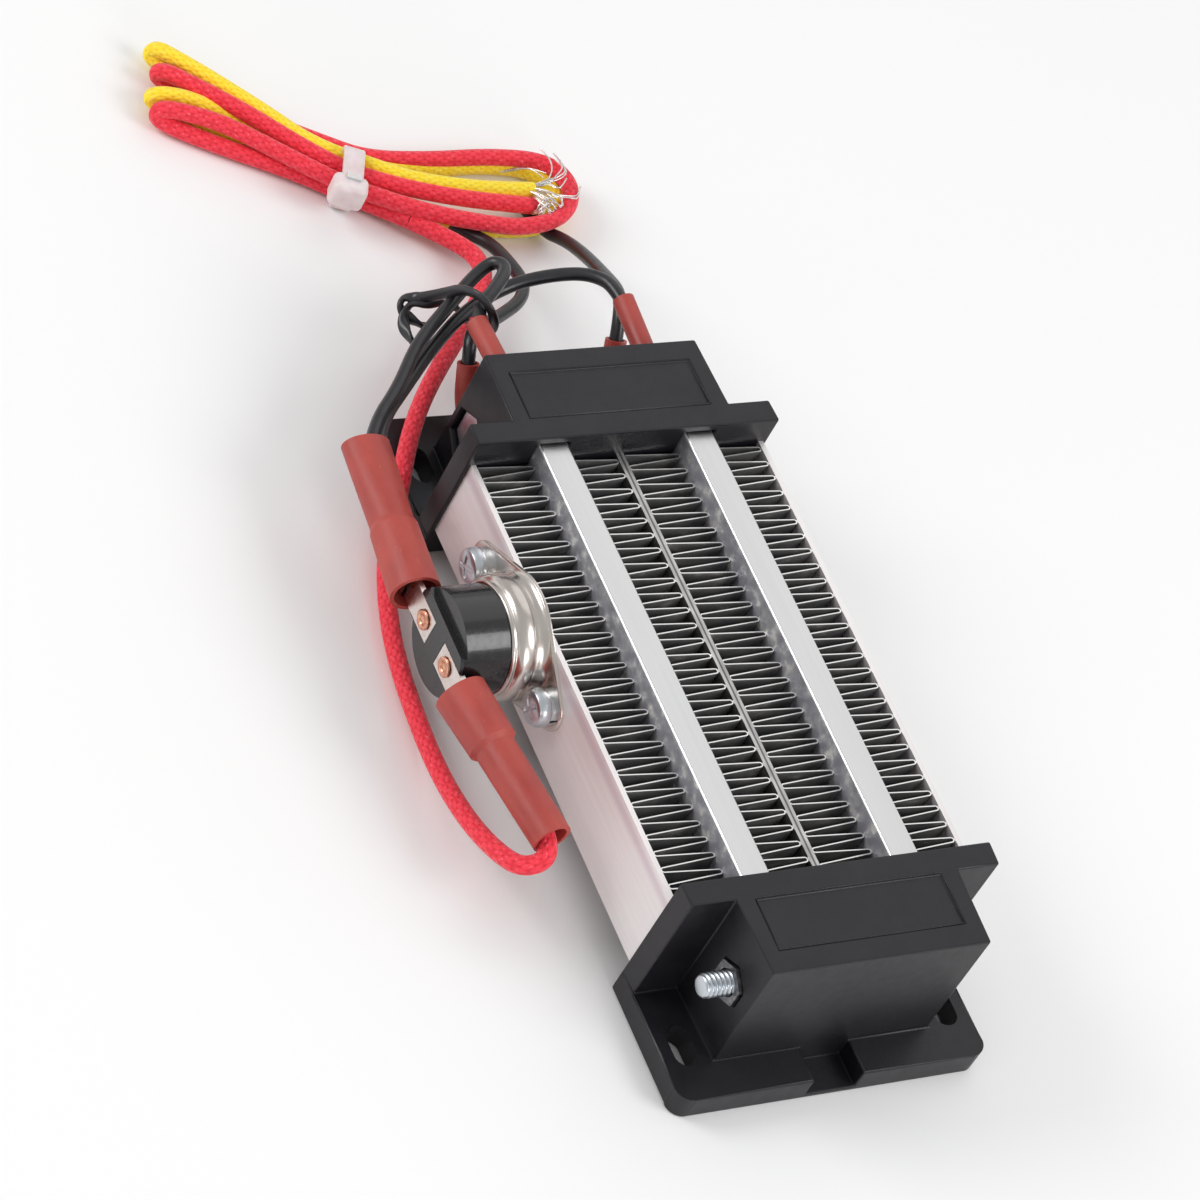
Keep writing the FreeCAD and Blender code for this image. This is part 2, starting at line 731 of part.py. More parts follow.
# Sleeves that cover the leads from inside the box's end wall to their mouths
sleeve_front_1 = [V(-sleeve_start_x, -lead_y, lead_height_front), V(-61.8, -12.2, 19.0)]
sleeve_front_2 = [V(-sleeve_start_x, lead_y, lead_height_front), V(-63.0, 11.9, 20.5)]
sleeve_back_1 = [V(-sleeve_start_x, -lead_y, lead_height_back), V(-56.4, -11.5, 6.6), V(-60.0, -11.6, 12.2)]
sleeve_back_2 = [V(-sleeve_start_x, lead_y, lead_height_back), V(-56.6, 12.1, 6.8), V(-61.2, 12.9, 13.6)]

# Routes of the cords, chosen by hand. Each end lies in its sleeve, on its plug or in the bundle.
red_route = [plug_point(1, plug_lean_lower, barrel_end), plug_point(1, plug_lean_lower, 21.2),
             V(22.9, -33.1, 12.4), V(23.0, -37.0, 10.6), V(18.2, -38.6, 8.6), V(11.0, -38.8, 5.8),
             V(2.0, -38.2, 3.3), V(-8.0, -37.1, 1.9), V(-18.5, -35.9, 1.5), V(-28.0, -33.6, 1.5),
             V(-36.6, -30.4, 2.2), V(-43.4, -26.9, 5.8), V(-50.5, -23.2, 6.6), V(-58.0, -17.9, 6.5),
             V(-66.0, -10.6, 6.0), V(-73.6, -2.8, 5.2), V(-80.2, 2.8, 4.2), V(-86.3, 4.7, 3.2),
             V(-91.0, 1.1, 2.6), V(-97.0, -6.5, 2.4)]
black_route_1 = [plug_point(-1, plug_lean_upper, barrel_end, -1.05),
                 plug_point(-1, plug_lean_upper, 22.6, -1.05), V(-49.8, -32.4, 14.3),
                 V(-55.8, -25.8, 14.9), V(-62.4, -19.2, 14.8), V(-68.0, -13.0, 15.6), V(-72.4, -7.2, 17.0),
                 V(-74.2, -3.9, 18.0), V(-72.4, -1.2, 18.9), V(-69.4, -1.8, 19.4), V(-66.9, -7.0, 19.6),
                 V(-64.6, -12.27, 18.92), V(-57.0, -12.07, 19.14)]
black_route_2 = [plug_point(-1, plug_lean_upper, barrel_end, 1.05),
                 plug_point(-1, plug_lean_upper, 24.2, 1.05), V(-50.8, -29.4, 12.5),
                 V(-56.6, -23.2, 12.2), V(-62.8, -16.6, 12.4), V(-68.2, -9.4, 13.8), V(-71.2, -1.6, 15.2),
                 V(-71.0, 5.0, 17.2), V(-69.0, 9.6, 19.4), V(-65.0, 11.9, 20.66), V(-57.6, 11.89, 20.04)]
black_route_3 = [V(-93.4, 17.2, 2.9), V(-85.4, 20.2, 5.0), V(-77.4, 19.8, 9.6), V(-71.0, 18.6, 13.6),
                 V(-66.2, 15.6, 17.0), V(-63.0, 13.2, 16.2), V(-60.2, 12.7, 12.1)]
black_route_4 = [V(-96.6, -2.1, 3.3), V(-85.6, 3.7, 6.9), V(-79.2, 5.6, 8.4), V(-74.8, 4.0, 9.4),
                 V(-70.6, -1.0, 10.8), V(-66.8, -6.4, 12.2), V(-64.6, -9.6, 14.0), V(-61.5, -11.65, 14.5),
                 V(-59.3, -11.6, 11.1)]
twist_tie_route = [V(-66.2, -17.1, 9.4), V(-69.5, -17.5, 9.4), V(-72.7, -16.7, 9.6), V(-74.1, -14.7, 10.6),
                   V(-72.9, -13.0, 12.2), V(-71.4, -12.4, 14.0), V(-69.8, -12.9, 17.6), V(-66.6, -9.6, 18.4),
                   V(-65.0, -6.2, 16.4), V(-65.4, -4.6, 12.4), V(-68.2, -5.4, 9.8), V(-71.4, -8.6, 10.4),
                   V(-72.2, -11.0, 12.6)]

# Plan outline of the folded bundle
hank_outline = [(-131.8, -31.8), (-128.0, -26.4), (-113.6, -14.6), (-107.0, -10.8), (-104.1, -5.0),
                (-106.4, 3.0), (-106.8, 14.0), (-105.4, 22.4), (-101.8, 27.6), (-97.2, 27.2),
                (-93.2, 21.8), (-92.0, 15.0), (-92.6, 7.0), (-94.8, -1.0), (-98.0, -8.4), (-100.6, -13.9),
                (-108.0, -23.4), (-114.6, -35.6),
                (-119.0, -37.4), (-129.0, -34.8)]

save("end_frame_plain", end_frame(clamp_height_plain, False))
save("end_frame_wire", turned(end_frame(clamp_height_wire, True)))
save("side_plate_cutout", side_plate(True))
save("side_plate_plain", side_plate(False))
save("divider_plate_1", mirrored(upright_strip(0, divider_thickness)))
save("divider_plate_2", upright_strip(0, divider_thickness))
save("fin_row_1", fin_row(-outer_row_end_y, -tube_outer_y))
save("fin_row_2", fin_row(-tube_inner_y, -inner_row_y))
save("fin_row_3", fin_row(inner_row_y, tube_inner_y))
save("fin_row_4", fin_row(tube_outer_y, outer_row_end_y))
save("heater_tube_1", mirrored(heater_tube()))
save("heater_tube_2", heater_tube())
save("tube_film_1", mirrored(tube_film()))
save("tube_film_2", tube_film())
save("electrode_front_1", mirrored(electrode(1, lead_height_front)))
save("electrode_back_1", mirrored(electrode(-1, lead_height_back)))
save("electrode_front_2", electrode(1, lead_height_front))
save("electrode_back_2", electrode(-1, lead_height_back))
save("ceramic_chips_1", group([mirrored(chip) for chip in chips()]))
save("ceramic_chips_2", group(chips()))
save("clamp_bolt_plain", clamp_bolt(clamp_height_plain))
save("clamp_bolt_wire", turned(clamp_bolt(clamp_height_wire)))
save("clamp_nut_plain", clamp_nut(clamp_height_plain))
save("clamp_nut_wire", turned(clamp_nut(clamp_height_wire)))
save("cutout_flange", cutout_flange())
save("cutout_cup", cutout_cup())
save("cutout_body", cutout_body())
save("cutout_disc", cutout_disc())
save("cutout_pin", cutout_pin())
save("cutout_arm", cutout_arm())
save("cutout_terminal_upper", cutout_terminal(-1, plug_lean_upper))
save("cutout_terminal_lower", cutout_terminal(1, plug_lean_lower))
save("cutout_rivets", cutout_rivets())
save("cutout_screws", cutout_screws())
save("cutout_spring_washers", cutout_spring_washers())
save("receptacle_upper", receptacle(-1, plug_lean_upper))
save("receptacle_lower", receptacle(1, plug_lean_lower))
save("plug_sleeve_upper", plug_sleeve(-1, plug_lean_upper, upper_sleeve_stations))
save("plug_sleeve_lower", plug_sleeve(1, plug_lean_lower, lower_sleeve_stations))
save("lead_sleeve_front_1", lead_sleeve(sleeve_front_1))
save("lead_sleeve_back_1", lead_sleeve(sleeve_back_1))
save("lead_sleeve_front_2", lead_sleeve(sleeve_front_2))
save("lead_sleeve_back_2", lead_sleeve(sleeve_back_2))
tie = cable_tie()
hank = lead_hank().cut(tie)
save("cable_tie", tie)
save("lead_hank", hank)
save("twist_tie", swept(centreline("twist_tie", twist_tie_route), twist_tie_radius))
save("red_lead", swept(centreline("red_lead", red_route), red_radius).cut(hank))
save("black_lead_1", swept(centreline("black_lead_1", black_route_1), black_radius))
save("black_lead_2", swept(centreline("black_lead_2", black_route_2), black_radius))
save("black_lead_3", swept(centreline("black_lead_3", black_route_3), black_radius).cut(hank))
save("black_lead_4", swept(centreline("black_lead_4", black_route_4), black_radius).cut(hank))
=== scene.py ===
import math
import random

import bmesh
import bpy
from mathutils import Matrix, Vector


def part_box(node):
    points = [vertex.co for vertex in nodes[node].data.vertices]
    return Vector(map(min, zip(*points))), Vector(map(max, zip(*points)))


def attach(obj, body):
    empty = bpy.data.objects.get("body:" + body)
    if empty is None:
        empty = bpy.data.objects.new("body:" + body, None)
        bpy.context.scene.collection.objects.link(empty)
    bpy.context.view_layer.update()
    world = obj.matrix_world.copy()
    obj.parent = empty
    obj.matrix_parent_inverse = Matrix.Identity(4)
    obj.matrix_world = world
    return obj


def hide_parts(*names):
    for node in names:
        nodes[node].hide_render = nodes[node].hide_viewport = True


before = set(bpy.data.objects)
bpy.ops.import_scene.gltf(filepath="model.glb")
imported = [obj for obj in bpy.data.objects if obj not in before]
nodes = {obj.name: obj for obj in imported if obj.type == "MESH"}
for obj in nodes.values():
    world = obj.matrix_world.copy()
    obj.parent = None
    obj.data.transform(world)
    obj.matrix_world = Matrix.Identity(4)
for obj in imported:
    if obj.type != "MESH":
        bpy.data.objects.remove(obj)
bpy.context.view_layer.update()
MM = 0.001
scene = bpy.context.scene
scene.view_settings.view_transform = "Standard"


# ---- Camera and light

camera_data = bpy.data.cameras.new("camera")
camera_data.lens = 155.15
camera_data.sensor_width = 36.0
camera_data.clip_end = 20.0
camera = bpy.data.objects.new("camera", camera_data)
right = Vector((0.37017, 0.85420, 0.36513))
up = -Vector((0.79365, -0.08652, -0.60220))
back = -Vector((-0.48280, 0.51270, -0.70996))
eye = Vector((327.45, -374.35, 519.15)) * MM
camera.matrix_world = Matrix.Translation(eye) @ Matrix((right, up, back)).transposed().to_4x4()
scene.collection.objects.link(camera)
scene.camera = camera


def area_light(name, place, size, power):
    """Round lamp aimed at the origin, with its place and size in metres."""
    light = bpy.data.lights.new(name, "AREA")
    light.shape = "DISK"
    light.size = size
    light.energy = power
    lamp = bpy.data.objects.new(name, light)
    lamp.location = place
    lamp.rotation_euler = (Vector((0, 0, 0)) - Vector(place)).to_track_quat("-Z", "Y").to_euler()
    scene.collection.objects.link(lamp)


area_light("key", (0.52, 0.49, 0.63), 0.5, 3.0)
area_light("high", (-0.48, 0.52, 0.72), 1.0, 1.2)
area_light("left", (-0.42, -0.66, 0.46), 0.45, 3.0)
area_light("near", (0.9, 0.0, 0.28), 0.4, 1.9)

# Soft light all round, and plain white behind
world = bpy.data.worlds.new("world")
scene.world = world
world.use_nodes = True
tree = world.node_tree
soft = tree.nodes["Background"]
soft.inputs["Color"].default_value = (1, 1, 1, 1)
soft.inputs["Strength"].default_value = 0.58
seen = tree.nodes.new("ShaderNodeBackground")
seen.inputs["Color"].default_value = (1, 1, 1, 1)
seen.inputs["Strength"].default_value = 1.0
path = tree.nodes.new("ShaderNodeLightPath")
pick = tree.nodes.new("ShaderNodeMixShader")
tree.links.new(path.outputs["Is Camera Ray"], pick.inputs[0])
tree.links.new(soft.outputs[0], pick.inputs[1])
tree.links.new(seen.outputs[0], pick.inputs[2])
tree.links.new(pick.outputs[0], tree.nodes["World Output"].inputs["Surface"])


# ---- Materials

class Shader:
    """A material being built: its node tree, with short ways to add nodes."""

    def __init__(self, name, colour, roughness, metallic=0.0, **sockets):
        self.material = bpy.data.materials.new(name)
        self.material.use_nodes = True
        self.tree = self.material.node_tree
        self.surface = self.tree.nodes["Principled BSDF"]
        self.surface.inputs["Base Color"].default_value = (*colour, 1)
        self.surface.inputs["Roughness"].default_value = roughness
        self.surface.inputs["Metallic"].default_value = metallic
        for socket, value in sockets.items():
            self.surface.inputs[socket.replace("_", " ")].default_value = value
        self.bumps = None

    def put(self, value, socket):
        """Links a socket, or sets a plain value on it."""
        if isinstance(value, bpy.types.NodeSocket):
            self.tree.links.new(value, socket)
        elif value is not None:
            socket.default_value = value

    def math(self, operation, a, b=None, c=None):
        node = self.tree.nodes.new("ShaderNodeMath")
        node.operation = operation
        for value, socket in zip((a, b, c), node.inputs):
            self.put(value, socket)
        return node.outputs[0]

    def place(self, scale=(1, 1, 1)):
        """The point on the object in millimetres, stretched."""
        coordinates = self.tree.nodes.new("ShaderNodeTexCoord")
        mapping = self.tree.nodes.new("ShaderNodeMapping")
        self.tree.links.new(coordinates.outputs["Object"], mapping.inputs["Vector"])
        mapping.inputs["Scale"].default_value = [1000 * s for s in scale]
        return mapping.outputs[0]

    def axis(self, vector, which):
        node = self.tree.nodes.new("ShaderNodeSeparateXYZ")
        self.tree.links.new(vector, node.inputs[0])
        return node.outputs[which]

    def noise(self, scale=1.0, stretch=(1, 1, 1), detail=3.0):
        node = self.tree.nodes.new("ShaderNodeTexNoise")
        self.tree.links.new(self.place(stretch), node.inputs["Vector"])
        node.inputs["Scale"].default_value = scale
        node.inputs["Detail"].default_value = detail
        return node.outputs[0]

    def steps(self, value, stops):
        """Value turned into a colour through a ramp of (position, colour)."""
        node = self.tree.nodes.new("ShaderNodeValToRGB")
        self.tree.links.new(value, node.inputs[0])
        ramp = node.color_ramp
        while len(ramp.elements) < len(stops):
            ramp.elements.new(0.5)
        for element, (position, colour) in zip(ramp.elements, stops):
            element.position = position
            element.color = (*colour, 1)
        return node.outputs[0]

    def between(self, factor, a, b):
        node = self.tree.nodes.new("ShaderNodeMix")
        node.data_type = "RGBA"
        self.put(factor, node.inputs[0])
        self.put(a if isinstance(a, bpy.types.NodeSocket) else (*a, 1), node.inputs[6])
        self.put(b if isinstance(b, bpy.types.NodeSocket) else (*b, 1), node.inputs[7])
        return node.outputs[2]

    def ranged(self, value, low, high, to_low, to_high):
        node = self.tree.nodes.new("ShaderNodeMapRange")
        self.tree.links.new(value, node.inputs[0])
        for socket, number in zip(list(node.inputs)[1:5], (low, high, to_low, to_high)):
            socket.default_value = number
        return node.outputs[0]

    def colour(self, value):
        self.put(value, self.surface.inputs["Base Color"])

    def rough(self, value):
        self.put(value, self.surface.inputs["Roughness"])

    def bump(self, height, depth):
        """Relief of a depth in millimetres."""
        node = self.tree.nodes.new("ShaderNodeBump")
        node.inputs["Distance"].default_value = depth * MM
        self.tree.links.new(height, node.inputs["Height"])
        if self.bumps is not None:
            self.tree.links.new(self.bumps, node.inputs["Normal"])
        self.bumps = node.outputs[0]
        self.tree.links.new(self.bumps, self.surface.inputs["Normal"])


def facing_front(shader):
    """How squarely a face looks to the front or the back: 1 there, 0 on the walls."""
    geometry = shader.tree.nodes.new("ShaderNodeNewGeometry")
    return shader.math("ABSOLUTE", shader.axis(geometry.outputs["True Normal"], 2))


def moulded_plastic():
    """Black plastic of the end frames, with a fine grain."""
    s = Shader("moulded_plastic", (0.012, 0.012, 0.013), 0.4, Specular_IOR_Level=0.42)
    cloud = s.noise(0.12)
    s.colour(s.steps(cloud, [(0.3, (0.0062, 0.0054, 0.0078)), (0.75, (0.0102, 0.009, 0.0125))]))
    s.rough(s.ranged(s.noise(0.6, detail=5.0), 0.25, 0.75, 0.34, 0.44))
    s.bump(s.noise(5.0, detail=2.0), 0.02)
    return s.material


def rolled_plate():
    """Side plates: satin with faint lengthwise lines and a painted mauve reflection of the red near the
    front edge.
    """
    s = Shader("rolled_plate", (0.8, 0.76, 0.76), 0.42, 0.6, Anisotropic=0.35)
    lines = s.noise(1.0, (0.04, 1.5, 3.0))
    height = s.axis(s.place(), 2)
    metal = s.steps(lines, [(0.3, (0.83, 0.79, 0.79)), (0.7, (0.9, 0.86, 0.855))])
    # Painted reflection: a mauve band of the red near the front edge, mixed in at half strength
    above = s.ranged(height, 17.2, 18.1, 0.0, 1.0)
    below = s.ranged(height, 18.7, 19.5, 1.0, 0.0)
    band = s.math("MULTIPLY", above, below)
    s.colour(s.between(s.math("MULTIPLY", band, 0.5), metal, (0.6, 0.48, 0.55)))
    s.rough(s.ranged(s.noise(0.25), 0.3, 0.7, 0.36, 0.48))
    s.bump(lines, 0.005)
    return s.material


def fin_strip():
    """Bright cut edges at front and back, and flanks between them painted a dark mottled grey as shade."""
    s = Shader("fin_strip", (0.8, 0.8, 0.82), 0.3, 1.0)
    facing = facing_front(s)
    s.put(s.ranged(facing, 0.3, 0.6, 0.55, 1.0), s.surface.inputs["Metallic"])
    edge = s.ranged(facing, 0.3, 0.6, 0.0, 1.0)
    # Painted shade: the flanks take a dark mottled grey for the shade between the folds; the cut edges
    # facing front and back stay bright
    flank_mottle = s.noise(0.5, (1, 0.5, 1), 5.0)
    flank_painted_shade = s.steps(flank_mottle, [(0.35, (0.16, 0.16, 0.165)), (0.62, (0.26, 0.255, 0.25)),
                             (0.75, (0.5, 0.48, 0.45))])
    s.colour(s.between(edge, flank_painted_shade, (0.84, 0.835, 0.82)))
    s.rough(s.ranged(edge, 0.0, 1.0, 0.5, 0.35))
    s.bump(s.noise(1.5, (1, 1, 0.3)), 0.03)
    return s.material


def divider_strip():
    """The two strips between the middle fin rows, with a dark seam where they meet."""
    s = Shader("divider_strip", (0.7, 0.69, 0.68), 0.36, 1.0)
    metal = s.steps(s.noise(0.8, (0.5, 1, 1)), [(0.3, (0.4, 0.39, 0.385)), (0.7, (0.62, 0.61, 0.6))])
    seam = s.ranged(s.math("ABSOLUTE", s.axis(s.place(), 1)), 0.08, 0.22, 0.85, 0.0)
    s.colour(s.between(seam, metal, (0.08, 0.08, 0.085)))
    s.bump(s.noise(2.0), 0.03)
    return s.material


def extruded_tube():
    """Tube with drawn lines along its front, a painted highlight on its rounded corners, and side walls
    painted a mottled grey with pale blotches as painted reflection.
    """
    s = Shader("extruded_tube", (0.75, 0.75, 0.77), 0.3, 1.0, Anisotropic=0.3)
    facing = facing_front(s)
    front = s.ranged(facing, 0.6, 0.95, 0.0, 1.0)
    lines = s.noise(1.0, (0.03, 5.0, 5.0), 4.0)
    drawn = s.steps(lines, [(0.35, (0.68, 0.68, 0.685)), (0.65, (0.705, 0.705, 0.705))])
    # Painted reflection: the side walls take a mottled grey with soft pale blotches
    wall_reflection_mottle = s.steps(s.noise(0.5), [(0.4, (0.36, 0.355, 0.4)), (0.56, (0.5, 0.495, 0.52)),
                                      (0.68, (0.85, 0.83, 0.8))])
    # Painted highlight: the rounded corners between front and walls take near-white colour and less
    # roughness
    rising = s.ranged(facing, 0.2, 0.35, 0.0, 1.0)
    falling = s.ranged(facing, 0.93, 0.99, 1.0, 0.0)
    corner = s.math("MULTIPLY", rising, falling)
    s.colour(s.between(corner, s.between(front, wall_reflection_mottle, drawn), (0.98, 0.98, 0.98)))
    flat_rough = s.ranged(front, 0.0, 1.0, 0.5, 0.36)
    s.rough(s.math("MULTIPLY_ADD", corner, -0.2, flat_rough))
    s.put(s.ranged(front, 0.0, 1.0, 0.45, 1.0), s.surface.inputs["Metallic"])
    s.bump(lines, 0.01)
    return s.material


def nickel():
    """Plated flange and cup of the cutout."""
    s = Shader("nickel", (0.68, 0.63, 0.59), 0.26, 1.0)
    s.colour(s.steps(s.noise(0.3), [(0.3, (0.6, 0.55, 0.51)), (0.7, (0.7, 0.65, 0.61))]))
    s.rough(s.ranged(s.noise(0.4), 0.3, 0.7, 0.2, 0.27))
    return s.material


def phenolic():
    """Glossy black body of the cutout."""
    s = Shader("phenolic", (0.008, 0.008, 0.0095), 0.2, Coat_Weight=0.4, Coat_Roughness=0.08)
    s.rough(s.ranged(s.noise(1.2, detail=4.0), 0.3, 0.7, 0.16, 0.3))
    s.bump(s.noise(2.5), 0.01)
    return s.material


def plated(name, dark, light, roughness, grain=1.5):
    """Bright metal that wanders between two tones."""
    s = Shader(name, light, roughness, 1.0)
    s.colour(s.steps(s.noise(grain, detail=4.0), [(0.3, dark), (0.7, light)]))
    s.rough(s.ranged(s.noise(grain), 0.3, 0.7, roughness * 0.85, roughness * 1.15))
    return s.material


def silicone():
    """Soft brick-red sleeve with faint lengthwise marks and dusty patches."""
    s = Shader("silicone", (0.45, 0.06, 0.045), 0.45, Subsurface_Weight=0.12, Subsurface_Scale=0.0012)
    s.surface.inputs["Subsurface Radius"].default_value = (1.0, 0.3, 0.2)
    wide = s.noise(0.22, (0.6, 1, 1), 4.0)
    body = s.steps(wide, [(0.3, (0.34, 0.042, 0.034)), (0.72, (0.46, 0.068, 0.052))])
    specks = s.ranged(s.noise(2.4, (0.35, 1, 1), 6.0), 0.66, 0.74, 0.0, 0.35)
    s.colour(s.between(specks, body, (0.62, 0.2, 0.16)))
    s.rough(s.ranged(wide, 0.3, 0.7, 0.38, 0.55))
    s.bump(s.noise(1.1, (0.3, 1, 1)), 0.06)
    return s.material


def braided(name, hollow_shade, bright, fleck):
    """Braided sleeve: strands wound both ways round the lead, over and under in turn, with painted shade in
    the hollows between the strands.
    """
    s = Shader(name, bright, 0.72, Sheen_Weight=0.25, Sheen_Roughness=0.4)
    uv = s.tree.nodes.new("ShaderNodeUVMap")
    uv.uv_map = "UVMap"
    strands_round = 8.0
    strands_per_mm = 0.62
    around = s.math("MULTIPLY", s.axis(uv.outputs[0], 0), strands_round)
    along = s.math("MULTIPLY", s.axis(uv.outputs[0], 1), strands_per_mm)
    left = s.math("ADD", around, along)
    right_hand = s.math("SUBTRACT", around, along)
    strands = []
    for turn, across in ((left, right_hand), (right_hand, left)):
        ridge = s.math("ABSOLUTE", s.math("SINE", s.math("MULTIPLY", turn, math.pi)))
        over = s.math("SINE", s.math("MULTIPLY", across, math.pi))
        if across is left:
            over = s.math("MULTIPLY", over, -1.0)
        lifted = s.math("MULTIPLY_ADD", over, 0.3, 0.7)
        strands.append(s.math("MULTIPLY", s.math("POWER", ridge, 0.6), lifted))
    relief = s.math("MAXIMUM", *strands)
    fibres = s.noise(6.0, detail=3.0)
    s.bump(relief, 0.2)
    s.bump(fibres, 0.05)
    # Painted shade: the low parts of the weave take the darker colour, the raised strands the bright one
    shaded_weave = s.steps(relief, [(0.3, hollow_shade), (0.72, bright)])
    flecks = s.ranged(s.noise(3.2, detail=2.0), 0.6, 0.7, 0.0, 0.6)
    raised = s.ranged(relief, 0.55, 0.9, 0.0, 1.0)
    pale = s.math("MULTIPLY", flecks, raised)
    s.colour(s.between(pale, shaded_weave, fleck))
    return s.material


def soft_black():
    """Black insulation of the thin leads and of the twisted tie."""
    s = Shader("soft_black", (0.014, 0.013, 0.016), 0.3, Specular_IOR_Level=0.6)
    s.colour(s.steps(s.noise(0.35), [(0.3, (0.009, 0.0085, 0.011)), (0.7, (0.018, 0.017, 0.021))]))
    s.rough(s.ranged(s.noise(1.0, detail=4.0), 0.3, 0.7, 0.28, 0.4))
    s.bump(s.noise(1.3), 0.015)
    return s.material


def nylon():
    """Milky cable tie, with the red of the leads shining through."""
    s = Shader("nylon", (0.88, 0.76, 0.76), 0.32, Subsurface_Weight=0.5, Subsurface_Scale=0.002,
               Transmission_Weight=0.12)
    s.colour(s.steps(s.noise(0.5), [(0.3, (0.82, 0.68, 0.69)), (0.7, (0.93, 0.84, 0.84))]))
    s.bump(s.noise(1.5), 0.03)
    return s.material


def plain_film(name, dark, light, roughness):
    """Dull surface that wanders between two tones, for the film and the ceramic inside."""
    s = Shader(name, light, roughness)
    s.colour(s.steps(s.noise(0.8), [(0.3, dark), (0.7, light)]))
    s.bump(s.noise(3.0), 0.02)
    return s.material


plastic = moulded_plastic()
plate_metal = rolled_plate()
fin_metal = fin_strip()
divider_metal = divider_strip()
tube_metal = extruded_tube()
nickel_metal = nickel()
body_black = phenolic()
zinc = plated("zinc", (0.55, 0.59, 0.63), (0.66, 0.7, 0.74), 0.33, 0.3)
dark_zinc = plated("dark_zinc", (0.2, 0.2, 0.21), (0.42, 0.42, 0.43), 0.35)
copper = plated("copper", (0.6, 0.25, 0.15), (0.88, 0.5, 0.36), 0.28)
rose_tab = plated("rose_tab", (0.8, 0.7, 0.65), (0.94, 0.88, 0.85), 0.28, 0.6)
tinned = plated("tinned", (0.7, 0.69, 0.66), (0.93, 0.92, 0.9), 0.28)
red_silicone = silicone()
red_braid = braided("red_braid", (0.72, 0.012, 0.028), (0.94, 0.034, 0.064), (1.0, 0.3, 0.36))
yellow_braid = braided("yellow_braid", (0.98, 0.64, 0.012), (1.0, 0.78, 0.03), (1.0, 0.9, 0.4))
black_rubber = soft_black()
tie_nylon = nylon()
film = plain_film("film", (0.5, 0.22, 0.03), (0.72, 0.4, 0.08), 0.3)
ceramic = plain_film("ceramic", (0.12, 0.1, 0.09), (0.24, 0.21, 0.19), 0.8)


def give(material, *names):
    """A CAD node takes a material in all its slots."""
    for name in names:
        for slot in nodes[name].material_slots:
            slot.material = material


give(plastic, "end_frame_plain", "end_frame_wire")
give(plate_metal, "side_plate_cutout", "side_plate_plain")
give(fin_metal, "fin_row_1", "fin_row_2", "fin_row_3", "fin_row_4")
give(divider_metal, "divider_plate_1", "divider_plate_2")
give(tube_metal, "heater_tube_1", "heater_tube_2")
give(film, "tube_film_1", "tube_film_2")
give(tinned, "electrode_front_1", "electrode_back_1", "electrode_front_2", "electrode_back_2")
give(tinned, "cutout_arm", "receptacle_upper", "receptacle_lower")
give(rose_tab, "cutout_terminal_upper", "cutout_terminal_lower")
give(ceramic, "ceramic_chips_1", "ceramic_chips_2", "cutout_pin")
give(zinc, "clamp_bolt_wire", "clamp_bolt_plain", "cutout_screws", "cutout_spring_washers")
give(dark_zinc, "clamp_nut_plain", "clamp_nut_wire")
give(nickel_metal, "cutout_flange", "cutout_cup", "cutout_disc")
give(body_black, "cutout_body")
give(copper, "cutout_rivets")
give(red_silicone, "plug_sleeve_upper", "plug_sleeve_lower")
give(red_silicone, "lead_sleeve_front_1", "lead_sleeve_back_1", "lead_sleeve_front_2", "lead_sleeve_back_2")


# ---- Pieces

def piece_from(name, bm, material, smooth=35.0):
    """New object on the frame, smooth but for edges sharper than an angle."""
    bmesh.ops.recalc_face_normals(bm, faces=bm.faces)
    mesh = bpy.data.meshes.new(name)
    bm.to_mesh(mesh)
    bm.free()
    mesh.materials.append(material)
    for polygon in mesh.polygons:
        polygon.use_smooth = True
    mesh.set_sharp_from_angle(angle=math.radians(smooth))
    piece = bpy.data.objects.new(name, mesh)
    scene.collection.objects.link(piece)
    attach(piece, "root")
    return piece


def copy_of(node):
    """The mesh of a CAD node in the frame, to be changed."""
    source = nodes[node]
    bm = bmesh.new()
    bm.from_mesh(source.data)
    bm.transform(source.matrix_world)
    return bm


def softened(node, material):
    """Copy of a CAD node with its long sharp edges rounded, in the node's place."""
    width = 0.32
    shortest = 1.6
    bm = copy_of(node)
    bmesh.ops.remove_doubles(bm, verts=bm.verts, dist=1e-6)
    if node == "end_frame_plain":
        notch_side = 6.8
        narrower_by = 2.6
        foot_top = 4.0
        for vert in bm.verts:
            if abs(vert.co.y - notch_side * MM) < 0.05 * MM and vert.co.z < foot_top * MM:
                vert.co.y -= narrower_by * MM
    bmesh.ops.dissolve_limit(bm, angle_limit=math.radians(0.5), verts=bm.verts, edges=bm.edges)
    sharp = []
    for edge in bm.edges:
        if len(edge.link_faces) == 2 and edge.calc_length() > shortest * MM:
            if edge.calc_face_angle(0.0) > math.radians(35):
                sharp.append(edge)
    bmesh.ops.bevel(bm, geom=sharp, offset=width * MM, segments=2, profile=0.5, affect="EDGES",
                    clamp_overlap=False)
    piece = piece_from(node + "_edged", bm, material, 28.0)
    weighted = piece.modifiers.new("weighted", "WEIGHTED_NORMAL")
    weighted.keep_sharp = True
    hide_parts(node)


def line_of(points):
    """Points along the smooth spline whose control points are given in millimetres."""
    curve = bpy.data.curves.new("route", "CURVE")
    curve.dimensions = "3D"
    curve.resolution_u = 10
    spline = curve.splines.new("NURBS")
    spline.points.add(len(points) - 1)
    for point, place in zip(spline.points, points):
        point.co = (*(Vector(place) * MM), 1)
    spline.order_u = 3
    spline.use_endpoint_u = True
    holder = bpy.data.objects.new("route", curve)
    mesh = bpy.data.meshes.new_from_object(holder)
    line = [v.co.copy() for v in mesh.vertices]
    bpy.data.objects.remove(holder)
    bpy.data.meshes.remove(mesh)
    bpy.data.curves.remove(curve)
    return [p for k, p in enumerate(line) if k == 0 or (p - line[k - 1]).length > 1e-6]


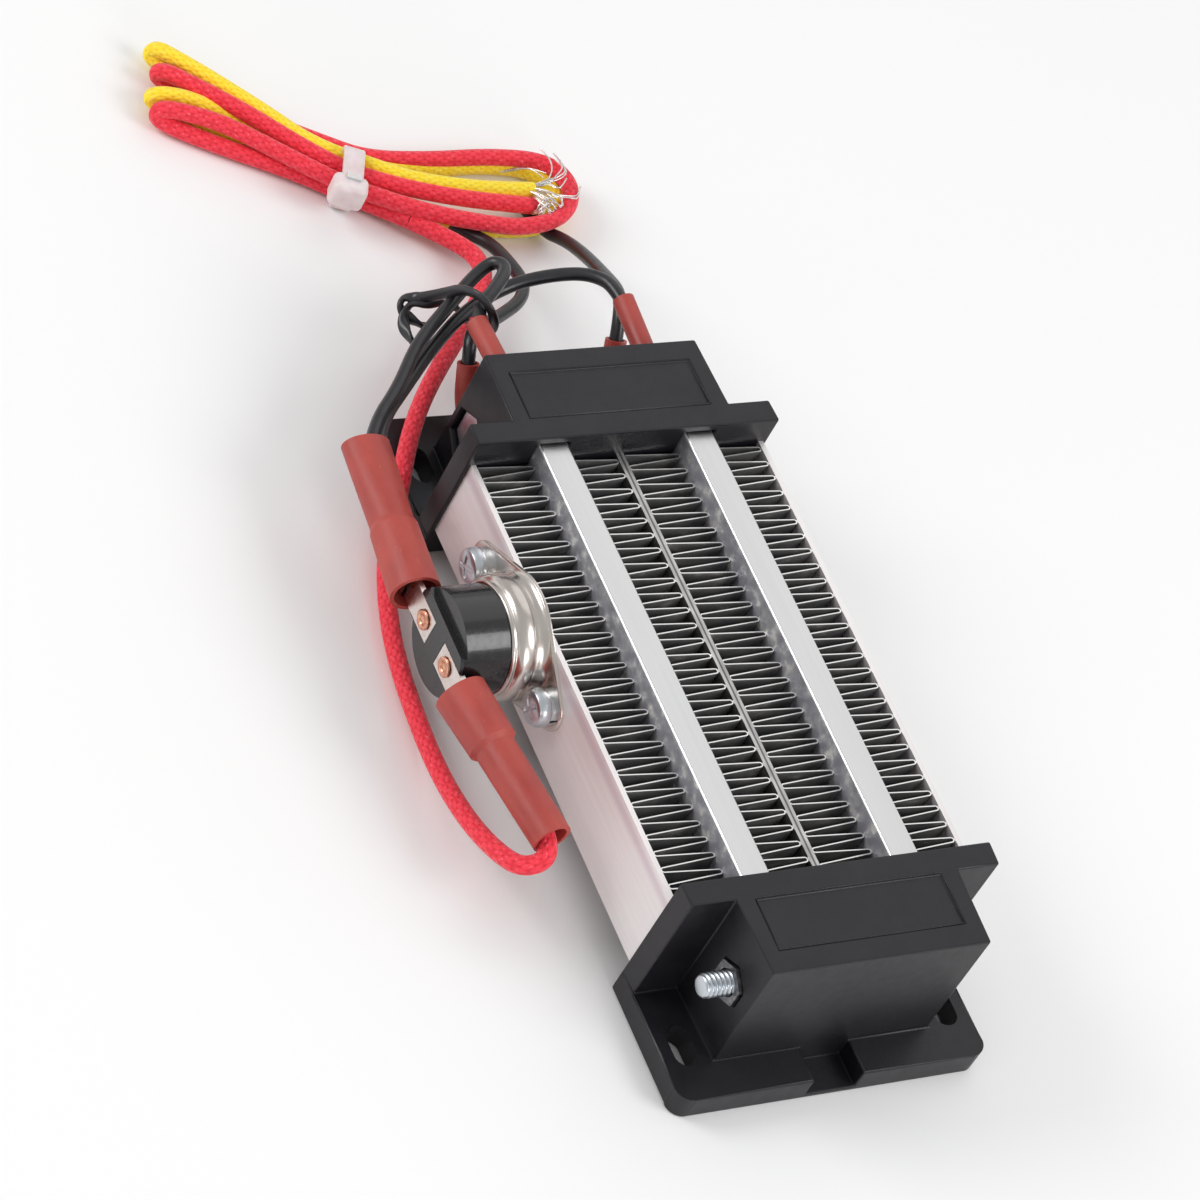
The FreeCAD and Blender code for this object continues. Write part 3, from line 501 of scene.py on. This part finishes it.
def sweep(bm, line, section, sides, uv):
    """Skin round a line. section(distance) gives half width and half height in millimetres and the turn
    in radians, at a distance in millimetres along the line."""
    count = len(line)
    side = None
    rings = []
    travelled = 0.0
    marks = []
    for k in range(count):
        ahead = (line[min(k + 1, count - 1)] - line[max(k - 1, 0)]).normalized()
        if side is None:
            side = ahead.cross(Vector((0, 0, 1)))
            if side.length < 0.1:
                side = ahead.cross(Vector((0, 1, 0)))
        side = (side - ahead * side.dot(ahead)).normalized()
        other = ahead.cross(side)
        if k:
            travelled += (line[k] - line[k - 1]).length / MM
        wide, high, turn = section(travelled)
        ring = []
        for j in range(sides):
            angle = 2 * math.pi * j / sides
            x = wide * math.cos(angle)
            y = high * math.sin(angle)
            a = x * math.cos(turn) - y * math.sin(turn)
            b = x * math.sin(turn) + y * math.cos(turn)
            ring.append(bm.verts.new(line[k] + (side * a + other * b) * MM))
        rings.append(ring)
        marks.append(travelled)
    for k in range(count - 1):
        for j in range(sides):
            following = (j + 1) % sides
            face = bm.faces.new((rings[k][j], rings[k][following], rings[k + 1][following],
                                 rings[k + 1][j]))
            corners = ((j, k), (j + 1, k), (j + 1, k + 1), (j, k + 1))
            for loop, (around, at) in zip(face.loops, corners):
                loop[uv].uv = (around / sides, marks[at])
    for ring in (rings[0][::-1], rings[-1]):
        bm.faces.new(ring)


def sweep_mesh():
    """Empty mesh with the layer that sweep() writes."""
    bm = bmesh.new()
    return bm, bm.loops.layers.uv.new("UVMap")


def tube(name, points, radius, material):
    """Round cord along a spline, and its line."""
    line = line_of(points)
    bm, uv = sweep_mesh()
    sweep(bm, line, lambda s: (radius, radius, 0.0), 18, uv)
    return piece_from(name, bm, material, 60.0), line


def lead(name, points, radius, material, node):
    """Lead in the place of its solid."""
    piece, line = tube(name, points, radius, material)
    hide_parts(node)


# Control points of the leads and of the twisted tie, in millimetres
red_points = [
    (10.19, -33.93, 13.4), (16.51, -32.94, 13.4), (22.9, -33.1, 12.4), (23.0, -37.0, 10.6),
    (18.2, -38.6, 8.6), (11.0, -38.8, 5.8), (2.0, -38.2, 3.3), (-8.0, -37.1, 1.9), (-18.5, -35.9, 1.5),
    (-28.0, -33.6, 1.5), (-36.6, -30.4, 2.2), (-43.4, -26.9, 5.8), (-50.5, -23.2, 6.6),
    (-58.0, -17.9, 6.5), (-66.0, -10.6, 6.0), (-73.6, -2.8, 5.2), (-80.2, 2.8, 4.2), (-86.3, 4.7, 3.2),
    (-91.0, 1.1, 2.6), (-94.6, -3.4, 2.4)]
black_points_1 = [
    (-34.95, -35.9, 13.4), (-42.7, -35.2, 13.4), (-49.8, -31.2, 13.6), (-55.3, -25.4, 14.0),
    (-62.2, -20.0, 14.6), (-68.0, -12.8, 15.2), (-72.8, -6.6, 16.4), (-73.6, -3.9, 18.0),
    (-71.0, -3.4, 19.2), (-66.4, -8.0, 19.7), (-63.4, -12.1, 19.0), (-57.0, -12.07, 19.14)]
black_points_2 = [
    (-34.75, -33.8, 13.4), (-44.1, -32.9, 13.4), (-50.8, -29.4, 12.5), (-56.6, -23.2, 12.2),
    (-62.8, -16.6, 12.4), (-68.2, -9.4, 13.8), (-71.2, -1.6, 15.2), (-71.0, 5.0, 17.2), (-69.0, 9.6, 19.4),
    (-65.0, 11.9, 20.66), (-57.6, 11.89, 20.04)]
black_points_3 = [
    (-97.6, 17.4, 1.2), (-92.0, 18.7, 1.3), (-88.7, 20.5, 3.0), (-82.3, 19.6, 7.0), (-74.4, 17.4, 12.0),
    (-67.4, 15.0, 16.6), (-63.0, 13.2, 16.2), (-60.2, 12.7, 12.1)]
black_points_4 = [
    (-97.6, 0.7, 1.1), (-93.0, 5.5, 1.2), (-88.9, 7.8, 3.0), (-82.5, 7.2, 6.0), (-77.1, 6.5, 8.0),
    (-72.7, 3.6, 9.4), (-69.2, -2.0, 10.6), (-66.4, -6.8, 12.2), (-64.4, -9.8, 14.0),
    (-61.5, -11.65, 14.5), (-59.3, -11.6, 11.1)]
tie_points = [
    (-69.9, -13.0, 8.4), (-70.6, -14.8, 8.8), (-71.9, -16.3, 9.4), (-73.2, -16.6, 9.9),
    (-74.0, -15.7, 10.4), (-73.3, -14.5, 10.9), (-72.7, -13.6, 11.7), (-71.6, -12.8, 13.4),
    (-69.9, -12.3, 16.0), (-68.1, -12.3, 18.8), (-65.9, -12.1, 20.9), (-64.0, -11.3, 21.6),
    (-62.5, -10.3, 20.8), (-62.3, -8.7, 18.2), (-63.7, -7.4, 14.4), (-65.9, -7.4, 11.8),
    (-68.5, -8.1, 11.2), (-70.8, -9.1, 11.6)]
tie_tail_points = [
    (-70.8, -9.1, 11.6), (-71.5, -10.9, 11.8), (-72.0, -12.8, 11.3), (-72.8, -14.8, 10.6),
    (-72.2, -15.9, 9.9), (-70.7, -16.8, 9.4), (-68.7, -17.2, 9.1), (-66.7, -16.4, 8.8)]

lead("red_lead_line", red_points, 1.35, red_braid, "red_lead")
for number, points in enumerate((black_points_1, black_points_2, black_points_3, black_points_4), 1):
    node = "black_lead_%d" % number
    lead(node + "_line", points, 1.0, black_rubber, node)


def twisted(name, points, half_width, half_height, turn):
    """Flat band of the tie. turn(distance) is its twist in radians."""
    line = line_of(points)
    bm, uv = sweep_mesh()
    sweep(bm, line, lambda s: (half_width, half_height, turn(s)), 20, uv)
    return piece_from(name, bm, black_rubber, 60.0), line


twist_tie, tie_line = twisted("twist_tie_line", tie_points, 0.88, 0.48, lambda s: 0.7 * min(s, 9.0))
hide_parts("twist_tie")
twisted("twist_tie_tail", tie_tail_points, 0.88, 0.5, lambda s: 0.6 * s)

# Folded leads in the bundle, run by run through the tie
red_fold = [
    (-94.6, -3.4, 2.4), (-98.6, -8.0, 1.6), (-101.1, -11.2, 1.4), (-106.2, -18.4, 1.35),
    (-110.6, -26.6, 1.35), (-115.1, -33.9, 1.35), (-116.8, -36.2, 1.7), (-117.2, -36.6, 2.8),
    (-117.0, -35.8, 3.8), (-115.6, -32.4, 4.1), (-113.2, -27.4, 4.1), (-107.5, -20.5, 4.0),
    (-102.1, -14.3, 4.0), (-98.5, -9.1, 4.2), (-94.2, -0.9, 4.3), (-91.6, 8.3, 4.1), (-90.7, 13.4, 4.0),
    (-91.5, 19.4, 4.0), (-94.4, 23.6, 3.8), (-99.1, 25.7, 3.6), (-103.9, 23.4, 3.3), (-105.6, 14.7, 2.9),
    (-105.7, 4.5, 2.6), (-107.4, -5.2, 1.6), (-110.8, -10.8, 1.4), (-115.0, -17.6, 1.35),
    (-119.6, -25.2, 1.35), (-124.0, -32.0, 1.4), (-124.8, -33.4, 1.9), (-124.8, -33.8, 3.2),
    (-123.6, -32.6, 3.9), (-121.8, -30.7, 4.1), (-115.9, -24.0, 4.2), (-108.5, -16.8, 4.0),
    (-103.5, -11.3, 4.0), (-99.9, -5.3, 4.5), (-97.0, 3.7, 4.4), (-95.3, 13.4, 4.0), (-95.3, 18.2, 3.2)]
yellow_fold = [
    (-98.4, -3.6, 1.35), (-102.6, -10.0, 1.35), (-107.6, -17.4, 1.35), (-113.6, -26.4, 1.35),
    (-118.4, -33.6, 1.4), (-120.2, -36.2, 2.0), (-120.2, -36.4, 3.1), (-119.7, -34.6, 3.8),
    (-118.8, -30.8, 3.5), (-115.9, -24.1, 2.3), (-112.0, -18.6, 1.5), (-106.0, -11.5, 1.35),
    (-101.5, -6.0, 1.35), (-96.7, -0.3, 1.35), (-93.3, 6.8, 1.35), (-92.2, 15.9, 1.35),
    (-93.4, 20.8, 1.35), (-98.7, 24.6, 1.35), (-103.7, 22.0, 1.35), (-105.3, 14.2, 1.35),
    (-105.0, 4.7, 1.35), (-106.4, -4.0, 1.35), (-110.2, -12.6, 1.35), (-116.0, -20.4, 1.35),
    (-123.0, -27.6, 1.35), (-128.8, -33.0, 1.5), (-129.4, -32.9, 2.4), (-128.6, -32.4, 3.7),
    (-125.7, -30.2, 4.2), (-122.1, -26.6, 4.2), (-114.5, -19.5, 4.0), (-110.2, -16.2, 4.0),
    (-107.0, -12.2, 4.0), (-104.9, -8.6, 4.2), (-101.5, -4.0, 4.8), (-99.8, 0.4, 4.8), (-98.3, 6.8, 4.8),
    (-97.7, 12.5, 4.6), (-97.6, 18.1, 4.2)]


# Bare wires that fan out of the two ends
yellow_wire_points = [
    [(-98.5, 17.2, 4.2), (-98.3, 18.6, 4.4), (-98.1, 20.1, 5.4), (-98.6, 21.0, 6.2), (-100.2, 21.7, 6.6),
     (-102.2, 21.9, 6.4), (-104.1, 21.5, 6.0)],
    [(-98.1, 17.0, 4.4), (-98.0, 18.4, 4.6), (-97.6, 20.0, 6.0), (-97.8, 21.8, 6.8), (-98.7, 23.4, 6.8),
     (-100.9, 23.7, 6.4), (-103.2, 23.5, 5.8)],
    [(-98.2, 17.2, 4.0), (-98.1, 18.9, 4.4), (-97.6, 20.7, 5.8), (-98.1, 23.0, 6.2), (-99.6, 24.3, 6.0),
     (-100.9, 24.2, 5.4), (-102.5, 23.9, 5.0)],
    [(-97.3, 16.8, 4.6), (-97.2, 19.0, 5.2), (-95.3, 20.6, 5.6), (-94.9, 22.7, 5.2), (-94.7, 24.4, 5.0),
     (-95.9, 25.2, 5.2), (-97.1, 25.4, 5.6)],
    [(-98.2, 17.5, 3.8), (-97.3, 17.8, 4.4), (-94.9, 17.6, 5.4), (-92.7, 18.0, 5.6), (-92.2, 19.3, 5.0),
     (-93.5, 20.0, 5.2)],
    [(-97.6, 17.2, 4.3), (-97.5, 18.7, 4.8), (-95.5, 19.3, 5.8), (-93.7, 19.9, 5.8), (-92.6, 20.8, 5.2),
     (-94.4, 21.3, 5.8)],
    [(-98.6, 17.4, 4.0), (-98.3, 18.7, 4.6), (-97.7, 20.0, 5.6), (-95.8, 20.6, 6.4), (-95.8, 21.5, 6.8),
     (-97.7, 23.2, 6.4)],
    [(-103.7, 16.1, 1.6), (-103.4, 17.5, 2.2), (-103.0, 19.2, 3.0), (-101.7, 20.7, 3.8),
     (-99.6, 20.9, 4.4)],
    [(-97.3, 16.8, 4.6), (-95.6, 17.7, 5.6), (-94.1, 18.2, 6.2), (-93.4, 19.0, 6.0), (-92.8, 19.8, 5.2)],
    [(-97.9, 17.1, 4.4), (-96.6, 18.4, 5.6), (-95.1, 19.1, 6.6), (-93.9, 20.0, 6.6), (-94.5, 22.9, 5.8),
     (-94.5, 24.1, 5.4)],
    [(-98.3, 17.4, 4.1), (-97.6, 18.6, 4.9), (-97.2, 20.1, 5.9), (-98.4, 21.9, 6.7), (-99.3, 23.1, 6.9),
     (-101.1, 23.5, 6.6)]]
red_wire_points = [
    [(-95.8, 17.1, 3.0), (-94.1, 17.6, 3.4), (-93.9, 17.9, 4.6), (-93.7, 18.5, 5.4), (-93.1, 19.7, 5.6)],
    [(-95.5, 17.4, 3.0), (-94.9, 18.2, 4.4), (-93.0, 18.9, 5.4), (-92.2, 18.4, 5.0), (-91.3, 17.3, 4.2)],
    [(-96.1, 17.2, 2.8), (-94.0, 16.9, 3.0), (-93.7, 17.2, 4.0), (-94.2, 17.8, 5.2), (-94.4, 18.8, 6.0),
     (-94.4, 20.0, 6.2)],
    [(-95.2, 16.8, 3.2), (-93.3, 17.2, 4.0), (-93.4, 17.5, 4.8), (-94.0, 18.5, 5.4), (-94.7, 19.7, 5.6)],
    [(-95.7, 16.9, 3.1), (-94.7, 17.9, 4.2), (-93.0, 18.0, 5.2), (-92.7, 17.0, 4.4)]]


def bare_wires(name, routes, seed):
    """Each followed wire with two finer neighbours that wander off beside it."""
    chance = random.Random(seed)
    lowest = 0.4
    bm, uv = sweep_mesh()
    for route in routes:
        for copy, spread in enumerate((0.0, 0.32, 0.5)):
            points = []
            for k, point in enumerate(route):
                drift = spread * (0.5 + k / len(route))
                x, y, z = [value + chance.uniform(-drift, drift) for value in point]
                points.append((x, y, max(z, lowest)))
            if copy:
                points = points[:chance.randint(3, len(points))]
            radius = 0.12 if copy == 0 else 0.09
            sweep(bm, line_of(points), lambda s: (radius, radius, 0.0), 6, uv)
    return piece_from(name, bm, tinned, 80.0)


red_wires = bare_wires("red_bare_wires", red_wire_points, 5)
yellow_wires = bare_wires("yellow_bare_wires", yellow_wire_points, 11)
red_bundle, red_line = tube("red_folds", red_fold, 1.3, red_braid)
yellow_bundle, yellow_line = tube("yellow_folds", yellow_fold, 1.25, yellow_braid)
for bundle, line, diameter, wires in ((red_bundle, red_line, 0.0026, red_wires),
                                      (yellow_bundle, yellow_line, 0.0025, yellow_wires)):
    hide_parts("lead_hank")

softened("end_frame_plain", plastic)
softened("end_frame_wire", plastic)


def skin(bm, rings):
    """Faces between rings of the same count, each ring closed."""
    for low, high in zip(rings, rings[1:]):
        count = len(low)
        for j in range(count):
            bm.faces.new((low[j], low[(j + 1) % count], high[(j + 1) % count], high[j]))


def rounded_tie():
    """Strap of the cable tie with round corners, and its rounded head over the near corner."""
    neck_centre = (-102.3, -11.2, 0.0)
    neck_turn = 65.0
    inner_radius = 0.8
    corner_steps = 6
    # Centre of each corner of the strap, and the angle at which it starts
    strap_corners = ((2.45, 5.25, 0), (-2.45, 5.25, 90), (-2.45, 1.65, 180), (2.45, 1.65, 270))
    strap_section = ((-1.6, 0.15), (-1.45, 0.0), (1.45, 0.0), (1.6, 0.15),
                     (1.6, 0.7), (1.45, 0.85), (-1.45, 0.85), (-1.6, 0.7))
    head_round = 0.95
    head_size = (5.4, 3.6, 4.4)
    head_centre = (-0.4, -5.1, 5.8)
    pawl_size = (2.2, 1.2, 0.5)
    pawl_centre = (-0.2, -4.1, 8.15)
    bm = bmesh.new()
    rings = []
    for corner_y, corner_z, start in strap_corners:
        for k in range(corner_steps + 1):
            angle = math.radians(start + 90 * k / corner_steps)
            ring = []
            for x, out in strap_section:
                radius = inner_radius + out
                y = corner_y + radius * math.cos(angle)
                z = corner_z + radius * math.sin(angle)
                ring.append(bm.verts.new(Vector((x, y, z))))
            rings.append(ring)
    skin(bm, rings + [rings[0]])
    head = bmesh.new()
    bmesh.ops.create_cube(head, size=1.0)
    head.transform(Matrix.Diagonal((*head_size, 1.0)))
    bmesh.ops.bevel(head, geom=list(head.edges), offset=head_round, segments=6, profile=0.5, affect="EDGES",
                    clamp_overlap=True)
    head.transform(Matrix.Translation(head_centre))
    mesh = bpy.data.meshes.new("head")
    head.to_mesh(mesh)
    head.free()
    bm.from_mesh(mesh)
    bpy.data.meshes.remove(mesh)
    for vert in bmesh.ops.create_cube(bm, size=1.0)["verts"]:
        vert.co = Vector([c * size + centre for c, size, centre in zip(vert.co, pawl_size, pawl_centre)])
    turn = Matrix.Rotation(math.radians(neck_turn), 4, "Z")
    bm.transform(Matrix.Scale(MM, 4) @ Matrix.Translation(neck_centre) @ turn)
    piece = piece_from("cable_tie_rounded", bm, tie_nylon, 50.0)
    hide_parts("cable_tie")


rounded_tie()


def lathe(bm, profile, place, turns=64, dent=None):
    """Profile of (radius, height) turned about -Y from a place, all in millimetres."""
    rings = []
    for radius, height in profile:
        ring = []
        for k in range(turns):
            angle = 2 * math.pi * k / turns
            x = radius * math.cos(angle)
            z = radius * math.sin(angle)
            sunk = dent(x, z) if dent else 0.0
            ring.append(bm.verts.new((Vector(place) + Vector((x, -(height - sunk), z))) * MM))
        rings.append(ring)
    skin(bm, rings)
    bm.faces.new(rings[-1])
    bm.faces.new(rings[0][::-1])


def box_of(node):
    """Two corners of a CAD node's box, in millimetres."""
    return [Vector(corner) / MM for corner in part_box(node)]


def corrugated(node, seed):
    """Thin strip folded to and fro between its two plates, with round turns, in the place of a fin row."""
    chance = random.Random(seed)
    low, high = box_of(node)
    thickness = 0.18
    turn = 0.36
    pitch = 2.61
    clear_of_ends = 0.75
    unevenness = 0.07
    tips = int(2 * (high.x - low.x - clear_of_ends) / pitch + 1.01)
    near = low.y + thickness / 2
    far = high.y - thickness / 2
    first = (low.x + high.x) / 2 - (tips - 1) * pitch / 4
    end_gap = 0.2
    turn_steps = 8
    middle = []
    for k in range(tips):
        x = first + k * pitch / 2 + chance.uniform(-unevenness, unevenness)
        outer, inward = (far, -1.0) if k % 2 == 0 else (near, 1.0)
        for j in range(turn_steps + 1):
            angle = math.pi * j / turn_steps
            y = outer + inward * turn * (1.0 - math.sin(angle))
            middle.append(Vector((x - turn * math.cos(angle), y, 0)))
    middle.insert(0, Vector((low.x, near + end_gap, 0)))
    middle.append(Vector((high.x, (near + end_gap) if tips % 2 else (far - end_gap), 0)))
    bm = bmesh.new()
    rows = []
    for k, point in enumerate(middle):
        ahead = (middle[min(k + 1, len(middle) - 1)] - middle[max(k - 1, 0)]).normalized()
        side = Vector((-ahead.y, ahead.x, 0)) * thickness / 2
        ring = []
        for offset, height in ((side, low.z), (-side, low.z), (-side, high.z), (side, high.z)):
            ring.append(bm.verts.new((point + offset + Vector((0, 0, height))) * MM))
        rows.append(ring)
    skin(bm, rows)
    bm.faces.new(rows[0])
    bm.faces.new(rows[-1][::-1])
    piece = piece_from(node + "_folded", bm, fin_metal, 50.0)
    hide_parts(node)


def screw_heads():
    """Pan head screws with a cross recess."""
    low, high = box_of("cutout_screws")
    head_height = 2.1
    head_radius = 2.75
    dome_radius = 2.44
    dome_start = 1.6
    dome_rise = 0.5
    dome_steps = 26
    arm_width = 0.4
    arm_reach = 1.8
    depth = 0.24
    seat = low.y + head_height
    side = [(1.5, -1.3), (1.5, 0.0), (2.66, 0.0), (head_radius, 0.1), (head_radius, 0.85), (2.66, 1.25),
            (dome_radius, dome_start)]
    dome = []
    for k in range(dome_steps):
        angle = math.pi / 2 * k / dome_steps
        dome.append((dome_radius * math.cos(angle), dome_start + dome_rise * math.sin(angle)))
    bm = bmesh.new()
    for x, tilt in ((low.x + head_radius, 0.5), (high.x - head_radius, 1.1)):
        place = (x, seat, (low.z + high.z) / 2)

        def dent(a, b):
            u = a * math.cos(tilt) + b * math.sin(tilt)
            v = -a * math.sin(tilt) + b * math.cos(tilt)
            reach = math.hypot(u, v)
            arm = min(abs(u), abs(v))
            if arm < arm_width and reach < arm_reach:
                ends = min(1.0, (arm_reach - reach) / 0.5)
                return depth * ends * min(1.0, (arm_width - arm) / 0.2)
            return 0.0

        lathe(bm, side, place)
        lathe(bm, dome, place, 120, dent)
    piece = piece_from("screw_heads", bm, zinc, 45.0)
    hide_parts("cutout_screws")


def drawn_back(node, amount, mouth):
    """Copy of a receptacle that ends a little deeper in its sleeve, open where it is cut.
    mouth is 1 or -1 along X."""
    bm = copy_of(node)
    limit = max(mouth * vert.co.x for vert in bm.verts) - amount * MM
    everything = list(bm.verts) + list(bm.edges) + list(bm.faces)
    bmesh.ops.bisect_plane(bm, geom=everything, plane_co=(mouth * limit, 0, 0), plane_no=(mouth, 0, 0),
                           clear_outer=True)
    piece = piece_from(node + "_set_back", bm, tinned, 40.0)
    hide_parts(node)


def hollow_rivets():
    """Rivets of the cutout's tabs, with a rolled rim round a dished middle."""
    low, high = box_of("cutout_rivets")
    bore = (high.z - low.z) / 2
    radius = 1.18 * bore
    tall = high.y - low.y - 0.1
    bm = bmesh.new()
    for x in (low.x + bore, high.x - bore):
        profile = [(0.45 * radius, 0.0), (0.45 * radius, tall - 0.28), (0.97 * radius, tall - 0.28),
                   (radius, tall - 0.18), (0.96 * radius, tall - 0.06), (0.84 * radius, tall),
                   (0.68 * radius, tall - 0.02), (0.54 * radius, tall - 0.14), (0.44 * radius, tall - 0.35),
                   (0.2 * radius, tall - 0.45)]
        lathe(bm, profile, (x, high.y, (low.z + high.z) / 2), 48)
    piece = piece_from("hollow_rivets", bm, copper, 50.0)
    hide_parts("cutout_rivets")


def threaded_bolt():
    """Bolt at the near end, with its thread where it stands out of the nut."""
    low, high = box_of("clamp_bolt_plain")
    centre_x = (low.x + high.x) / 2
    centre_z = (low.z + high.z) / 2
    pitch = 0.7
    crest_radius = 1.78
    groove = 0.4
    tip = 1.1
    thread_length = 8.5
    shank_radius = 1.7
    head_depth = 3
    head_across = 7.0
    steps = 40
    thread_end = low.y + thread_length
    bm = bmesh.new()
    rows = []
    rise = pitch / 8
    turns = int((thread_end - low.y) / rise)
    for k in range(turns + 1):
        y = low.y + k * rise
        ring = []
        for j in range(steps):
            angle = 2 * math.pi * j / steps
            phase = ((y - low.y) / pitch + j / steps) % 1.0
            crest = 1.0 - abs(2 * phase - 1.0)
            radius = crest_radius - groove * (1.0 - min(1.0, crest * 1.25))
            end = (y - low.y) / tip
            if end < 1.0:
                radius = min(radius, 1.2 + 0.58 * math.sqrt(max(0.0, 1 - (1 - end) ** 2)))
            x = centre_x + radius * math.cos(angle)
            z = centre_z + radius * math.sin(angle)
            ring.append(bm.verts.new(Vector((x, y, z)) * MM))
        rows.append(ring)
    skin(bm, rows)
    bm.faces.new(rows[0])
    bm.faces.new(rows[-1])
    shank = [(shank_radius, -(high.y - head_depth - thread_end)), (shank_radius, 0)]
    lathe(bm, shank, (centre_x, thread_end, centre_z), steps)
    corner = head_across / math.sqrt(3)
    rings = []
    for radius, y in ((corner * 0.93, high.y - 2.2), (corner, high.y - 1.9), (corner, high.y - 0.4),
                      (corner * 0.9, high.y)):
        ring = []
        for j in range(6):
            angle = math.radians(30 + 60 * j)
            x = centre_x + radius * math.cos(angle)
            z = centre_z + radius * math.sin(angle)
            ring.append(bm.verts.new(Vector((x, y, z)) * MM))
        rings.append(ring)
    skin(bm, rings)
    bm.faces.new(rings[0])
    bm.faces.new(rings[-1])
    piece = piece_from("threaded_bolt", bm, zinc, 50.0)
    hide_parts("clamp_bolt_plain")


def spun_cup():
    """Drawn cup with a domed bead and a rolled rim, turned about -Y."""
    low, high = box_of("cutout_cup")
    place = ((low.x + high.x) / 2, high.y, (low.z + high.z) / 2)
    profile = [(7.0, 0.1), (8.2, 0.1), (8.3, 2.05), (8.5, 2.12), (8.7, 2.3), (8.82, 2.6), (8.84, 3.1),
               (8.8, 3.6), (8.68, 4.05), (8.48, 4.42), (8.22, 4.66), (8.02, 4.74), (7.96, 4.86),
               (8.02, 5.02), (8.02, 5.2), (7.94, 5.38), (7.8, 5.48), (7.66, 5.5), (7.58, 5.44), (7.56, 5.2)]
    bm = bmesh.new()
    lathe(bm, profile, place, 96)
    piece = piece_from("cutout_cup_spun", bm, nickel_metal, 50.0)
    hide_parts("cutout_cup")


def stamped_flange():
    """Flange with two ears, rounded at its edge and flared up to the cup's neck."""
    low, high = box_of("cutout_flange")
    x0 = (low.x + high.x) / 2
    z0 = (low.z + high.z) / 2
    ear = 3.5
    disc = 9.35
    arc_steps = 24
    reach = (high.x - low.x) / 2 - ear
    spread = math.acos((disc - ear) / reach)
    outline = []
    for centre, radius, start, end in ((reach, ear, -spread, spread), (0.0, disc, spread, math.pi - spread),
                                       (-reach, ear, math.pi - spread, math.pi + spread),
                                       (0.0, disc, math.pi + spread, 2 * math.pi - spread)):
        for k in range(arc_steps + 1):
            angle = start + (end - start) * k / arc_steps
            along, across = math.cos(angle), math.sin(angle)
            outline.append((centre + radius * along, radius * across, along, across))
    bm = bmesh.new()
    rings = []
    for inset, height in ((0.0, 0.0), (0.0, 0.28), (0.07, 0.42), (0.2, 0.5), (0.6, 0.5)):
        ring = []
        for x, z, a, b in outline:
            point = Vector((x0 + x - inset * a, high.y - height, z0 + z - inset * b))
            ring.append(bm.verts.new(point * MM))
        rings.append(ring)
    skin(bm, rings)
    bm.faces.new(rings[0])
    bm.faces.new(rings[-1])
    neck = [(7.2, 0.1), (9.2, 0.1), (9.18, 0.5), (8.98, 0.62), (8.76, 0.86), (8.6, 1.2), (8.5, 1.6),
            (8.46, 2.0), (8.3, 2.16), (7.2, 2.2)]
    lathe(bm, neck, (x0, high.y, z0), 96)
    piece = piece_from("cutout_flange_stamped", bm, nickel_metal, 40.0)
    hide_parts("cutout_flange")


spun_cup()
stamped_flange()
for row in range(1, 5):
    corrugated("fin_row_%d" % row, row)
screw_heads()
drawn_back("receptacle_upper", 1.5, 1)
drawn_back("receptacle_lower", 1.5, -1)
hollow_rivets()
threaded_bolt()


# ---- Floor

def floor():
    """Pale ground just under the feet."""
    bm = bmesh.new()
    bmesh.ops.create_grid(bm, x_segments=1, y_segments=1, size=4.0)
    mesh = bpy.data.meshes.new("floor")
    bm.to_mesh(mesh)
    bm.free()
    ground = bpy.data.objects.new("floor", mesh)
    ground.location = (0, 0, -0.0002)
    scene.collection.objects.link(ground)
    s = Shader("floor", (0.9, 0.9, 0.9), 0.9)
    s.colour(s.steps(s.noise(0.002), [(0.3, (0.89, 0.89, 0.89)), (0.7, (0.91, 0.91, 0.91))]))
    mesh.materials.append(s.material)


floor()
